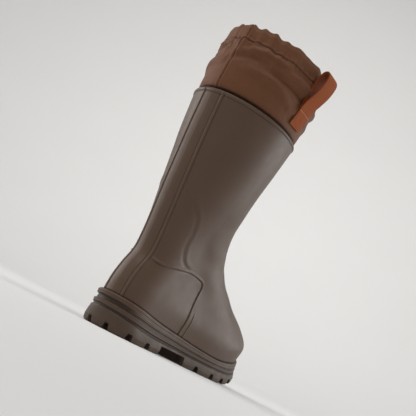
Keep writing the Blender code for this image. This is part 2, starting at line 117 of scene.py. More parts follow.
# Lines of the upper. Places round the leg are measured from the middle of the back.
SEAM_MIDDLE, SEAM_HALF = 13.7, 1.5  # raised back seam on either side
FLANK = 0.8  # run of a raised seam's flanks
SEAM_FOOT = SEAM_MIDDLE + SEAM_HALF + FLANK  # where its front flank ends
SEAM_LINE = 1.5  # width of the fine lines beside it
PARTING, PARTING_RISE = 1.1, 0.3  # parting line down the back: width, height as a share of those lines' depth
COUNTER_LINE = [(14, 96.5), (35, 95), (53, 98), (84, 103.5), (110, 104.5), (131, 102)]  # top edge: x, z
COUNTER_FRONT = [(38, 120.5), (60, 124), (80, 128), (100, 131.5)]  # front edge: z, x
COUNTER_CORNER = 9.0  # radius where the two edges meet
BORDER_HALF, BORDER_FLANK = 1.0, 0.9  # raised border along both edges
BORDER_LINE, BORDER_LINE_IN, BORDER_LINE_SHARE = 2.2, 2.5, 1.1  # line inside it: width, place, share of depth
BORDER_FROM, BORDER_FADE = 0.5, 2.5  # where the border starts beside the back seam, and the run of its rise
SECOND_AHEAD, SECOND_TOP = 8.5, 66.0  # second line ahead of the counter, and the height where it ends
SECOND_HALF, SECOND_SHARE, SECOND_FADE = 0.5, 0.7, 8.0  # its half-width, share of the height, run of its end
RIM_LINE, RIM_LINE_UNDER = 1.8, 0.5  # line under the rim's bead: width, place
# Soft arc over the ankle down to the counter: x, z, share of the full depth
ANKLE_ARC = [(15.5, 190, .7), (25, 181, 1.0), (36, 170, .9), (48, 158, .65), (54, 143, .5), (57, 122, .8),
             (65, 111, 1.0), (82, 106, .6), (98, 105, .0)]
ARC_PROFILE = [(0.6, 3.0, 11.0), (-1.0, -1.8, 8.0)]  # ridge and trough across it: share, place, width
ARC_STEPS, ARC_FADE = 140, 3.0  # points along it, and the run of its rise beside the back seam
# Flex creases over the instep: height at the front, fall to the side, half-width round the leg, depth, width
INSTEP_CREASES = [(136, 6, 44, .8, 20), (116, 8, 58, .9, 22), (98, 9, 52, .5, 18)]
# The upper's points lie closer together along its lines. Round the leg: places beside the parting line, start
# of the even stretches, room beside the back seam, behind and ahead of the counter's front, steps of each
PARTING_PLACES, EVEN_FROM, SEAM_ROOM = [0, .3, .6, 1, 2.4, 4.6], 7.0, 3.6
FRONT_BEHIND, FRONT_AHEAD, ROUND_STEPS = 6.0, 12.0, (2, 18, 26, 36, 46)
# Up the leg: heights round the counter's top, top of the ankle arc, room under the bead, steps of each
COUNTER_BAND, ARC_TOP, BEAD_ROOM, WALL_STEPS = (84.0, 110.0), 198.0, 4.0, (21, 46, 55, 36, 14)
RIM_ROUND, RIM_STEPS = 1.8, 7  # room for the rim's round top, and loops over it
LINING_STEP = 4  # the lining has every fourth row of the outer wall


def spline(table, x):
    """Smooth curve through (x, y) rows, with slopes from the neighbouring rows."""
    table = np.asarray(table, float)
    xs, ys = table[:, 0], table[:, 1]
    slope = np.gradient(ys, xs)
    x = np.clip(x, xs[0], xs[-1])
    k = np.clip(np.searchsorted(xs, x) - 1, 0, len(xs) - 2)
    step = xs[k + 1] - xs[k]
    t = (x - xs[k]) / step
    return ((1 + 2 * t) * (1 - t) ** 2 * ys[k] + t * (1 - t) ** 2 * step * slope[k]
            + t * t * (3 - 2 * t) * ys[k + 1] + t * t * (t - 1) * step * slope[k + 1])


def smooth(t):
    """Eased step from 0 to 1."""
    t = np.clip(t, 0, 1)
    return t * t * (3 - 2 * t)


def swell(d, width):
    """Rounded ridge of height 1 across a line, as wide as that at its foot."""
    return 0.5 + 0.5 * np.cos(math.pi * np.clip(2 * d / width, -1, 1))


def swells(d, rows):
    """Relief across a line: each row is the height, the place and the width of a ridge or trough."""
    return sum(height * swell(d - at, width) for height, at, width in rows)


def crest(d, half, flank):
    """Raised seam of height 1: a flat top with sloping flanks."""
    return 1 - smooth((np.abs(d) - half) / flank)


def spring(x):
    """Lift of the tread over the ground: none to the ball, then rising to the toe."""
    t = np.clip((np.asarray(x, float) - SPRING_FROM) / (SPRING_TO - SPRING_FROM), 0, None)
    return SPRING * t ** SPRING_CURVE


def sized(row):
    """A row of shares as a dictionary in millimetres."""
    s = dict(zip(COLUMNS, row))
    for name in ("back", "front", "edge"):
        s[name] = HEEL_BACK + FOOT_LENGTH * s[name]
    for name in ("back_up", "front_up"):
        s[name] = HEEL_HEIGHT + SHAFT_HEIGHT * s[name]
    for name in ("heel", "outer", "inner", "outer_dip", "inner_dip"):
        s[name] = BALL_WIDTH * s[name]
    return s


def between(places, rows, at):
    """Rows of a table that lie at places, taken smoothly between them."""
    columns = np.asarray(rows, float).T
    return np.stack([spline(np.stack([places, column], 1), at) for column in columns], -1)


def section_at(level):
    """The section that many rows above the welt."""
    return sized(between(LEVELS, SECTIONS, level))


def level_at(z):
    """The row whose back is at this height."""
    levels = np.linspace(0, LAST, LEVEL_STEPS)
    back_up = between(LEVELS, SECTIONS, levels)[:, COLUMNS.index("back_up")]
    return np.interp(z, HEEL_HEIGHT + SHAFT_HEIGHT * back_up, levels)


def half_section(s, side, n):
    """One side of a section from the back to the front: a quarter round the heel, the waist, a quarter
    round the toe."""
    name = "outer" if side > 0 else "inner"
    at, ball, dip = s[name + "_at"], s[name], s[name + "_dip"]
    a = np.linspace(0, math.pi / 2, n)
    u = np.linspace(0, 1, n)[1:-1]
    back, front = 2 / s["round_back"], 2 / s["round_front"]
    cos, sin = np.clip(np.cos(a), 0, 1), np.sin(a)
    t = np.concatenate([s["heel_at"] * (1 - cos ** back), s["heel_at"] + (at - s["heel_at"]) * u,
                        at + (1 - at) * cos[::-1] ** front])
    w = np.concatenate([s["heel"] * sin ** back,
                        s["heel"] + (ball - s["heel"]) * smooth(u) - dip * np.sin(math.pi * u) ** 2,
                        ball * sin[::-1] ** front])
    x = s["back"] + (s["front"] - s["back"]) * t
    z = s["back_up"] + (s["front_up"] - s["back_up"]) * t
    z = z + s["follow"] * (spline(WELT_LINE, x) - HEEL_HEIGHT)
    return np.stack([x, side * w, z], 1)


def lengths(points):
    """Distance along a line of points, from its first."""
    return np.concatenate([[0], np.cumsum(np.linalg.norm(np.diff(points, axis=0), axis=1))])


def evenly(line, count):
    """As many points along a line, evenly spaced."""
    run = lengths(line)
    places = np.linspace(0, run[-1], count)
    return np.stack([np.interp(places, run, line[:, c]) for c in range(line.shape[1])], 1)


def spaced(start, ends, steps):
    """Places from start through each of the ends, with so many even steps on the way to each."""
    places = [start]
    for end, count in zip(ends, steps):
        places += list(np.linspace(places[-1], end, count + 1)[1:])
    return places


def leftward(line):
    """Unit normals on the left of a line in a plane."""
    along = np.gradient(line, axis=0)
    along /= np.linalg.norm(along, axis=1, keepdims=True)
    return np.stack([-along[:, 1], along[:, 0]], 1)


def ring(outer, inner):
    """Closed loop of points, or of values at them, from two halves that share their ends: up the outer side
    and back along the inner."""
    return np.concatenate([outer, inner[-2:0:-1]])


def closed(s, count):
    """Loop round a section, with count points evenly spaced along each half."""
    return ring(*[evenly(half_section(s, side, FINE), count) for side in (1, -1)])


def outward(loop):
    """Unit normals of a loop in plan, pointing out of it."""
    along = np.roll(loop, -1, 0) - np.roll(loop, 1, 0)
    n = np.stack([-along[:, 1], along[:, 0], 0 * along[:, 0]], 1)
    n /= np.linalg.norm(n, axis=1, keepdims=True)
    return n if ((loop - loop.mean(axis=0)) * n).sum() > 0 else -n


def surface_normals(loops):
    """Outward unit normals of a tube of loops."""
    along = np.roll(loops, -1, 1) - np.roll(loops, 1, 1)
    n = np.cross(np.gradient(loops, axis=0), along)
    n /= np.linalg.norm(n, axis=2, keepdims=True)
    middle = loops.mean(axis=1, keepdims=True)
    return n if ((loops - middle) * n).sum() > 0 else -n


def placed(points):
    """Points from the boot's own axes, in millimetres, to the frame's, in metres."""
    return (np.asarray(points) - (HEEL_REST, 0, 0)) * MM


def linear(colour):
    """sRGB hex to linear, with full alpha."""
    values = [int(colour[i:i + 2], 16) / 255 for i in (1, 3, 5)]
    return (*[v / 12.92 if v <= 0.04045 else ((v + 0.055) / 1.055) ** 2.4 for v in values], 1)


def tinted(colour, share):
    """A colour made darker or paler by a share."""
    return (*[min(c * share, 1) for c in colour[:3]], 1)


def length_property(name, description, millimetres):
    return FloatProperty(name=name, description=description, default=millimetres * MM, unit="LENGTH",
                         precision=5, min=0)


def colour_property(name, description, colour):
    return FloatVectorProperty(name=name, description=description, default=linear(colour), size=4,
                               subtype="COLOR", min=0, max=1)


class BootSizes(bpy.types.PropertyGroup):
    """Sizes of the boot's surface."""

    wall: length_property("Wall", "Thickness of the moulded upper", 2.8)
    ridge: length_property("Raised seams", "Height of the raised seams of the upper", 1.0)
    line: length_property("Seam lines", "Depth of the fine lines beside the raised seams", 0.45)
    ankle_fold: length_property("Ankle arc", "Depth of the soft arc over the ankle", 0.9)
    rim_bead: length_property("Rim bead", "Height of the bead round the rim", 4.0)
    rim_bead_out: length_property("Rim bead projection", "How far the bead stands out", 0.7)
    cuff_wall: length_property("Cuff thickness", "Two layers of nylon with their interlining", 1.6)
    gathers: length_property("Gathers", "Depth of the gathers at the hem", 0.9)
    folds: length_property("Slack folds", "Depth of the loose folds of the cuff", 4.0)
    webbing: length_property("Webbing", "Thickness of the pull loop's webbing", 1.6)
    insole: length_property("Insole", "Thickness of the felt insole", 4.0)
    lug_depth: length_property("Lug depth", "Depth of the tread's grooves", 7.5)


class BootFinishes(bpy.types.PropertyGroup):
    """Colours of the boot and of its stage."""

    upper: colour_property("Upper", "Moulded rubber of the upper", "#574233")
    sidewall: colour_property("Sidewall", "Moulded rubber of the sidewall", "#533f31")
    outsole: colour_property("Outsole", "Rubber of the tread", "#4d3c2f")
    nylon: colour_property("Cuff", "Woven nylon of the cuff", "#7a5037")
    webbing: colour_property("Pull loop", "Woven webbing of the pull loop", "#a6562b")
    thread: colour_property("Thread", "Sewing thread of the pull loop", "#d2a06c")
    lining: colour_property("Lining", "Knitted lining of the shaft", "#4a423b")
    felt: colour_property("Insole", "Felt of the insole", "#8a8379")
    floor: colour_property("Floor", "Paper of the floor and backdrop", "#d6d5d3")


# Materials

WAVE_BANDS = 3.2  # bands of a wave pattern in each unit of its scale


def feed(tree, node, inputs):
    """Sets inputs of a node. Each gets a value, or the output socket that feeds it."""
    for name, value in inputs.items():
        if isinstance(value, bpy.types.NodeSocket):
            tree.links.new(value, node.inputs[name])
        else:
            node.inputs[name].default_value = value


def add(tree, kind, output, inputs=None, **settings):
    """Adds a node with its settings and links, and gives one of its outputs."""
    made = tree.nodes.new(kind)
    for name, value in settings.items():
        setattr(made, name, value)
    feed(tree, made, inputs or {})
    return made.outputs[output]


def per_metre(size_mm):
    """Scale of a pattern that repeats at a size in millimetres."""
    return 1 / (size_mm * MM)


def blank(name):
    """A material with its node tree, its shader and the place on the piece."""
    made = bpy.data.materials.new(name)
    made.use_nodes = True
    tree = made.node_tree
    return made, tree, tree.nodes["Principled BSDF"], add(tree, "ShaderNodeTexCoord", "Object")


def wear_and_shade(tree, paint, start, full, most, tint):
    """Paint that turns towards a tint as the relief goes from start to full, by a share of most. It paints
    wear paler on raised lines and painted shade darker in grooves, creases and at edges.
    """
    relief = add(tree, "ShaderNodeAttribute", "Fac", attribute_name="relief")
    share = add(tree, "ShaderNodeMapRange", "Result", {"Value": relief, "From Min": start, "From Max": full,
                                                       "To Max": most})
    return add(tree, "ShaderNodeMix", 2, {0: share, 6: paint, 7: tint}, data_type="RGBA")


def moulded_rubber(name, colour, rough_low, rough_high, grain):
    """Injection-moulded rubber: satin from the polished mould, faintly clouded, rubbed paler on raised
    lines and darker in the grooves, which are dusty and painted in shade. The mould's fine grain is
    drawn coarser than it is, or it would not show."""
    made, tree, shader, place = blank(name)
    cloud = add(tree, "ShaderNodeTexNoise", "Fac", {"Vector": place, "Scale": per_metre(38), "Detail": 4.0})
    paint = add(tree, "ShaderNodeMix", 2, {0: cloud, 6: tinted(colour, 0.94), 7: tinted(colour, 1.06)},
                data_type="RGBA")
    paint = wear_and_shade(tree, paint, start=0.3, full=1.2, most=0.5, tint=tinted(colour, 1.35))
    # Painted shade, with some dirt: the rubber darkens where the relief sinks into grooves and recesses.
    paint = wear_and_shade(tree, paint, start=-0.05, full=-0.55, most=0.75, tint=tinted(colour, 0.35))
    patch = add(tree, "ShaderNodeTexNoise", "Fac", {"Vector": place, "Scale": per_metre(11), "Detail": 3.0})
    rough = add(tree, "ShaderNodeMapRange", "Result", {"Value": patch, "From Min": 0.3, "From Max": 0.7,
                                                       "To Min": rough_low, "To Max": rough_high})
    fine = add(tree, "ShaderNodeTexNoise", "Fac", {"Vector": place, "Scale": per_metre(grain), "Detail": 2.0})
    bump = add(tree, "ShaderNodeBump", "Normal", {"Height": fine, "Strength": 0.25, "Distance": 0.15 * MM})
    feed(tree, shader, {"Base Color": paint, "Roughness": rough, "Normal": bump, "IOR": 1.5,
                        "Specular IOR Level": 0.4})
    return made


def woven(name, colour, thread, rough, streak, crinkle):
    """Plain weave: warp and weft a thread apart, crossing over and under, with dusty streaks and small
    crinkles. The thread is drawn coarser than it is, or it would not show."""
    made, tree, shader, place = blank(name)
    chart = add(tree, "ShaderNodeUVMap", "UV", uv_map="UVMap")
    warp, weft = (add(tree, "ShaderNodeTexWave", "Fac", {"Vector": chart, "Distortion": 0.6, "Detail": 1.0,
                                                         "Scale": per_metre(thread) / WAVE_BANDS},
                      bands_direction=way) for way in ("X", "Y"))
    weave = add(tree, "ShaderNodeMath", "Value", {0: warp, 1: weft}, operation="MULTIPLY")
    cloud = add(tree, "ShaderNodeTexNoise", "Fac", {"Vector": place, "Scale": per_metre(streak),
                                                    "Detail": 5.0, "Roughness": 0.6})
    paint = add(tree, "ShaderNodeMix", 2, {0: cloud, 6: tinted(colour, 0.72), 7: tinted(colour, 1.3)},
                data_type="RGBA")
    paint = add(tree, "ShaderNodeMix", 2, {0: weave, 6: tinted(colour, 0.7), 7: paint}, data_type="RGBA")
    # Painted shade where the relief sinks: in the seams' creases, where the cloth tucks into the rim, and
    # along the webbing's edges.
    paint = wear_and_shade(tree, paint, start=-0.1, full=-0.9, most=0.92, tint=tinted(colour, 0.2))
    crumple = add(tree, "ShaderNodeTexNoise", "Fac", {"Vector": place, "Scale": per_metre(crinkle),
                                                      "Detail": 2.0, "Distortion": 1.2})
    soft = add(tree, "ShaderNodeBump", "Normal", {"Height": crumple, "Strength": 0.5,
                                                  "Distance": 0.12 * crinkle * MM})
    bump = add(tree, "ShaderNodeBump", "Normal", {"Height": weave, "Strength": 0.5, "Normal": soft,
                                                  "Distance": 0.15 * thread * MM})
    feed(tree, shader, {"Base Color": paint, "Normal": bump, "Roughness": rough, "Specular IOR Level": 0.18,
                        "Sheen Weight": 0.05, "Sheen Roughness": 0.4, "Sheen Tint": tinted(colour, 2.5)})
    return made


def napped(name, colour, fibre, depth):
    """Felt or brushed knit: matted fibres with no gloss, soft sheen and clumps a few fibres wide."""
    made, tree, shader, place = blank(name)
    clump = add(tree, "ShaderNodeTexNoise", "Fac", {"Vector": place, "Scale": per_metre(fibre),
                                                    "Detail": 6.0, "Roughness": 0.7})
    paint = add(tree, "ShaderNodeMix", 2, {0: clump, 6: tinted(colour, 0.6), 7: tinted(colour, 1.35)},
                data_type="RGBA")
    bump = add(tree, "ShaderNodeBump", "Normal", {"Height": clump, "Strength": 0.6, "Distance": depth * MM})
    feed(tree, shader, {"Base Color": paint, "Normal": bump, "Roughness": 0.95, "Sheen Weight": 0.4,
                        "Specular IOR Level": 0.15})
    return made


def spun_thread(name, colour):
    """Polyester sewing thread: a tight two-ply twist with a slight gloss."""
    made, tree, shader, place = blank(name)
    twist = add(tree, "ShaderNodeTexWave", "Fac", {"Vector": place, "Scale": per_metre(0.8) / WAVE_BANDS},
                bands_direction="DIAGONAL")
    paint = add(tree, "ShaderNodeMix", 2, {0: twist, 6: tinted(colour, 0.7), 7: colour}, data_type="RGBA")
    feed(tree, shader, {"Base Color": paint, "Roughness": 0.6, "Sheen Weight": 0.2})
    return made


def backdrop_paper(name, colour):
    """Matt seamless paper: an even pulp with no gloss, faintly clouded, lit through a little."""
    made, tree, shader, place = blank(name)
    pulp = add(tree, "ShaderNodeTexNoise", "Fac", {"Vector": place, "Scale": per_metre(400), "Detail": 3.0})
    paint = add(tree, "ShaderNodeMix", 2, {0: pulp, 6: tinted(colour, 0.98), 7: tinted(colour, 1.02)},
                data_type="RGBA")
    feed(tree, shader, {"Base Color": paint, "Roughness": 0.9, "Specular IOR Level": 0.0,
                        "Emission Strength": 0.1})
    return made


# Shapes that several pieces share

def lofted(loops, relief=None, wrap=False):
    """A bmesh tube through loops of points: a flat grid bent onto them, ready to be merged along its
    edges. With wrap, the last loop joins the first. The UV map is in metres, round the tube and along it.
    relief is a height in millimetres that the finishes read."""
    sheet = np.concatenate([loops, loops[:, :1]], 1)
    heights = np.zeros(loops.shape[:2]) if relief is None else relief
    heights = np.concatenate([heights, heights[:, :1]], 1)
    if wrap:
        sheet, heights = np.concatenate([sheet, sheet[:1]]), np.concatenate([heights, heights[:1]])
    rows, columns = sheet.shape[:2]
    round_it = np.mean([lengths(row) for row in sheet], axis=0) * MM
    along_it = np.mean([lengths(sheet[:, c]) for c in range(columns)], axis=0) * MM
    bm = bmesh.new()
    chart = bm.loops.layers.uv.new("UVMap")
    layer = bm.verts.layers.float.new("relief")
    bmesh.ops.create_grid(bm, x_segments=columns - 1, y_segments=rows - 1, size=1)
    bm.verts.index_update()
    for vert, point, height in zip(bm.verts, placed(sheet).reshape(-1, 3), heights.ravel()):
        vert.co = point
        vert[layer] = height
    for face in bm.faces:
        for corner in face.loops:
            row, column = divmod(corner.vert.index, columns)
            corner[chart].uv = round_it[column], along_it[row]
    return bm


def slab(loops, low, high, under_rows, over_rows):
    """Loops of a closed slab: from a ridge along the underside out to the first loop, up the side, and in
    to a ridge along the top. low and high give the heights of both faces at the points of a row."""
    def towards_middle(loop, height, rows):
        partner = np.roll(loop[::-1], 1, 0)
        made = []
        for share in np.linspace(0, 1, rows + 1)[1:]:
            row = loop + ((loop + partner) / 2 - loop) * share
            row[:, 2] = height(row)
            made.append(row)
        return made

    under, over = towards_middle(loops[0], low, under_rows), towards_middle(loops[-1], high, over_rows)
    return np.stack([*under[::-1], *loops, *over])


def rolled(outer, inner, base, height, steps):
    """Loops over an edge, between its outer and its inner loop, that rise from a base."""
    made = []
    for angle in np.linspace(0, math.pi, steps + 2)[1:-1]:
        loop = (outer + inner) / 2 + (outer - inner) / 2 * math.cos(angle)
        loop[:, 2] = base + height * math.sin(angle)
        made.append(loop)
    return made


def add_mesh(name, bm, *materials):
    """Merges a bmesh along its edges, turns its faces out and links it as an object."""
    bmesh.ops.remove_doubles(bm, verts=bm.verts, dist=WELD)
    bmesh.ops.dissolve_degenerate(bm, edges=bm.edges, dist=WELD)
    bmesh.ops.recalc_face_normals(bm, faces=bm.faces)
    mesh = bpy.data.meshes.new(name)
    bm.to_mesh(mesh)
    bm.free()
    mesh.shade_smooth()
    for material in materials:
        mesh.materials.append(material)
    obj = bpy.data.objects.new(name, mesh)
    bpy.context.scene.collection.objects.link(obj)
    return obj


def dress(obj, slot, *nodes):
    """A piece that rides on the boot and stands for solids, which it hides. Its slot, a finish of the record,
    is not used.
    """
    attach(obj, "root")
    if nodes:
        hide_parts(*nodes)
    return obj


# The upper

def upper_half(s, side):
    """Half a section, with its points close together along the raised lines, and their distance from the
    middle of the back."""
    dense = half_section(s, side, FINE)
    along = lengths(dense)
    edge = np.interp(s["edge"], dense[:, 0], along)
    seam = (SEAM_MIDDLE - SEAM_ROOM, SEAM_MIDDLE + SEAM_ROOM)
    ends = (*seam, edge - FRONT_BEHIND, edge + FRONT_AHEAD, along[-1])
    places = PARTING_PLACES + spaced(EVEN_FROM, ends, ROUND_STEPS)
    points = np.stack([np.interp(places, along, dense[:, c]) for c in range(3)], 1)
    return points, np.array(places)


def wall_heights(bead):
    """Heights of the rows of the outer wall, close together at the counter's edge and at the rim."""
    ends = (*COUNTER_BAND, ARC_TOP, RIM - bead - BEAD_ROOM, RIM - RIM_ROUND)
    return spaced(HEEL_HEIGHT, ends, WALL_STEPS)


def signed_distance(points, path):
    """Distance of points from a path in a plane, positive on its left, and the place of the nearest point
    along the path."""
    gaps = points[:, None, :] - path[None, :, :]
    nearest = (gaps ** 2).sum(axis=2).argmin(axis=1)
    gap = gaps[np.arange(len(points)), nearest]
    tangent = np.gradient(path, axis=0)[nearest]
    left = tangent[:, 0] * gap[:, 1] - tangent[:, 1] * gap[:, 0]
    return np.sign(left) * np.linalg.norm(gap, axis=1), nearest


def arc_relief(around, height, side, depth):
    """The soft arc over the ankle: a ridge on its outer side and a trough inside it."""
    rows = []
    for x, z, share in ANKLE_ARC:
        dense = half_section(section_at(level_at(z)), side, FINE)
        rows.append((np.interp(x, dense[:, 0], lengths(dense)), z, share))
    rows = np.array(rows)
    run = lengths(rows[:, :2])
    t = np.linspace(0, run[-1], ARC_STEPS)
    path, share = between(run, rows[:, :2], t), np.interp(t, run, rows[:, 2])
    d, nearest = signed_distance(np.stack([around.ravel(), height.ravel()], 1), path)
    fade = smooth((around.ravel() - SEAM_FOOT) / ARC_FADE)
    return (depth * share[nearest] * fade * swells(d, ARC_PROFILE)).reshape(around.shape)


def line_relief(x, z, around, sizes):
    """Height of the raised lines and grooves over the plain wall."""
    ridge, line, bead = sizes.ridge / MM, sizes.line / MM, sizes.rim_bead / MM
    seam = around - SEAM_MIDDLE
    relief = ridge * crest(seam, SEAM_HALF - FLANK / 2, FLANK)
    relief -= line * swell(np.abs(seam) - SEAM_HALF - FLANK, SEAM_LINE)
    relief += PARTING_RISE * line * swell(around, PARTING)

    over = z - spline(COUNTER_LINE, x)
    ahead = x - spline(COUNTER_FRONT, z)
    a, b = over + COUNTER_CORNER, ahead + COUNTER_CORNER
    edge = np.hypot(np.maximum(a, 0), np.maximum(b, 0)) + np.minimum(np.maximum(a, b), 0) - COUNTER_CORNER
    border = ridge * crest(edge, BORDER_HALF, BORDER_FLANK)
    border -= BORDER_LINE_SHARE * line * swell(edge + BORDER_LINE_IN, BORDER_LINE)
    relief += border * smooth((around - SEAM_FOOT - BORDER_FROM) / BORDER_FADE)
    second = ridge * SECOND_SHARE * crest(ahead - SECOND_AHEAD, SECOND_HALF, BORDER_FLANK)
    relief += second * smooth((SECOND_TOP - z) / SECOND_FADE)

    below = RIM - z
    relief += sizes.rim_bead_out / MM * (1 - smooth((below - bead) / FLANK))
    relief -= line * swell(below - bead - FLANK - RIM_LINE_UNDER, RIM_LINE)
    return relief


def crease_relief(z, to_front):
    """Depth of the soft flex creases over the instep."""
    relief = 0 * z
    for top, fall, reach, depth, width in INSTEP_CREASES:
        share = np.clip(to_front / reach, 0, 1)
        relief -= depth * swell(z - top + fall * share ** 2, width) * (1 - smooth(share))
    return relief


def upper_loops(sizes):
    """Loops of the upper up its outer wall, over the rim and down its lining, with the height of their
    lines and the number of rows before the lining."""
    wall, bead_out = sizes.wall / MM, sizes.rim_bead_out / MM
    loops, around, to_front = [], [], []
    for level in level_at(wall_heights(sizes.rim_bead / MM)):
        s = section_at(level)
        (outer, places), (inner, inner_places) = upper_half(s, 1), upper_half(s, -1)
        loops.append(ring(outer, inner))
        around.append(ring(places, inner_places))
        to_front.append(ring(places[-1] - places, inner_places[-1] - inner_places))
    loops, around, to_front = np.stack(loops), np.stack(around), np.stack(to_front)
    normals = surface_normals(loops)
    x, z = loops[:, :, 0], loops[:, :, 2]
    lines, soft = line_relief(x, z, around, sizes), crease_relief(z, to_front)
    half = loops.shape[1] // 2
    for side, columns in ((1, slice(0, half + 1)), (-1, slice(half + 1, None))):
        soft[:, columns] += arc_relief(around[:, columns], z[:, columns], side, sizes.ankle_fold / MM)
    outer = loops + normals * (lines + soft)[:, :, None]
    inner = loops - normals * wall
    for face in (outer, inner):
        face[0, :, 2] = spline(WELT_LINE, face[0, :, 0])

    top, normal = loops[-1], normals[-1]
    rim = rolled(top + normal * bead_out, top - normal * wall, top[:, 2], (wall + bead_out) / 2, RIM_STEPS)
    lining = inner[::-LINING_STEP]
    if not np.allclose(lining[-1], inner[0]):
        lining = np.concatenate([lining, inner[:1]])
    every = np.concatenate([outer, np.stack(rim), lining])
    lines = np.concatenate([lines, np.zeros((len(every) - len(outer), loops.shape[1]))])
    return every, lines, len(outer) + len(rim)


class BOOT_OT_upper(bpy.types.Operator):
    """Moulds the hollow upper with its raised seams, counter, ankle arc, creases and rim"""

    bl_idname = "boot.upper"
    bl_label = "Upper"

    def execute(self, context):
        sizes, finishes = context.scene.boot_sizes, context.scene.boot_finishes
        loops, relief, lining_from = upper_loops(sizes)
        # The heights of the lines also tint the rubber: paler on raised lines, and painted shade with some
        # dirt in the grooves.
        bm = lofted(loops, relief, wrap=True)
        columns = loops.shape[1]
        for number, face in enumerate(bm.faces):
            face.material_index = int(lining_from <= number // columns < len(loops) - 1)
        rubber = moulded_rubber("moulded taupe rubber", finishes.upper,
                                rough_low=0.47, rough_high=0.53, grain=0.9)
        lining = napped("brushed knit lining", finishes.lining, fibre=2.5, depth=0.5)
        dress(add_mesh("moulded_upper", bm, rubber, lining), "upper_rubber", "upper")
        return {"FINISHED"}


# The sole

# Side of the tread: rise from ground to joint, blend from the welt outline (0) to the flare (1)
TREAD_SIDE = [(0.10, 0.90), (0.36, 1.0), (0.70, 0.82), (1.0, 0.52)]
# Side of the sidewall: rise from joint to welt, blend to the flare, step out, extra step at the heel back
SIDEWALL = [
    (0.00, .40, -1.4, 0.0), (0.12, .38, -1.4, 0.0), (0.17, .36, 0.0, 0.4), (0.36, .28, 0.2, 0.8),
    (0.41, .24, -1.0, 0.4), (0.50, .20, -1.0, -0.6), (0.54, .18, 0.2, -1.6), (0.66, .10, 0.2, -1.8),
    (0.70, .08, 0.2, 1.4), (0.92, .00, 0.2, 1.6), (1.00, .00, -0.7, 0.6),
]
# Fine lines of the sidewall: height, then place and width as shares of the rise
SIDEWALL_LINES = [(-0.35, 0.265, 0.045), (-0.40, 0.60, 0.05), (-0.45, 0.80, 0.05)]
SIDEWALL_POINTS, SIDEWALL_ROWS = 170, 90  # points of each half of its loops, loops up its side
SOFT_ROWS = 3  # rows on either side over which its steps are rounded
KICK_FROM, KICK_TO = 10.0, 30.0  # the kick ledge fades out between these, from the back of the sole
BAND_TOP, BAND_SHADE = 0.2, 0.6  # steps are flush from this height, and their depth is painted darker by this share, as shade in the recesses


def sole_outline(blend, count):
    """Outline between the welt (blend 0) and the flare (1), without heights: count points for each half."""
    welt, flare = (closed(sized(row), count) for row in (SOLE_WELT, SOLE_FLARE))
    return welt + (flare - welt) * blend


def joint_height(points):
    """Underside of the sidewall."""
    return spline(JOINT_LINE, points[:, 0]) + GAP


def welt_height(points):
    """Top of the sidewall."""
    return spline(WELT_LINE, points[:, 0]) - GAP


def sidewall_loops():
    """Loops up the banded side, with the depth of its lines and recesses, which paints shade in them."""
    rise, *columns = np.array(SIDEWALL).T
    rows = np.linspace(0, 1, SIDEWALL_ROWS)
    soft = np.hanning(2 * SOFT_ROWS + 1)
    eased = [np.convolve(np.pad(np.interp(rows, rise, column), SOFT_ROWS, mode="edge"), soft / soft.sum(),
                         mode="valid") for column in columns]
    loops, relief = [], []
    for share, blend, out, kick in zip(rows, *eased):
        loop = sole_outline(blend, SIDEWALL_POINTS)
        back = 1 - smooth((loop[:, 0] - KICK_FROM) / (KICK_TO - KICK_FROM))
        step = out + kick * back + swells(share, SIDEWALL_LINES)
        loop = loop + outward(loop) * step[:, None]
        low, high = joint_height(loop), welt_height(loop)
        loop[:, 2] = low + (high - low) * share
        loops.append(loop)
        # Painted shade: the recesses darken by their depth.
        relief.append(np.minimum(step, BAND_TOP) * BAND_SHADE)
    return np.stack(loops), np.stack(relief)


class BOOT_OT_sidewall(bpy.types.Operator):
    """Moulds the sidewall with its bands, grooves and the kick ledge at the heel"""

    bl_idname = "boot.sidewall"
    bl_label = "Sidewall"

    def execute(self, context):
        loops, relief = sidewall_loops()
        every = slab(loops, joint_height, welt_height, under_rows=1, over_rows=1)
        heights = np.pad(relief, ((1, 1), (0, 0)))
        colour = context.scene.boot_finishes.sidewall
        rubber = moulded_rubber("moulded sidewall rubber", colour, rough_low=0.48, rough_high=0.58, grain=0.9)
        dress(add_mesh("sidewall", lofted(every, heights), rubber), "sidewall_rubber", "midsole")
        return {"FINISHED"}


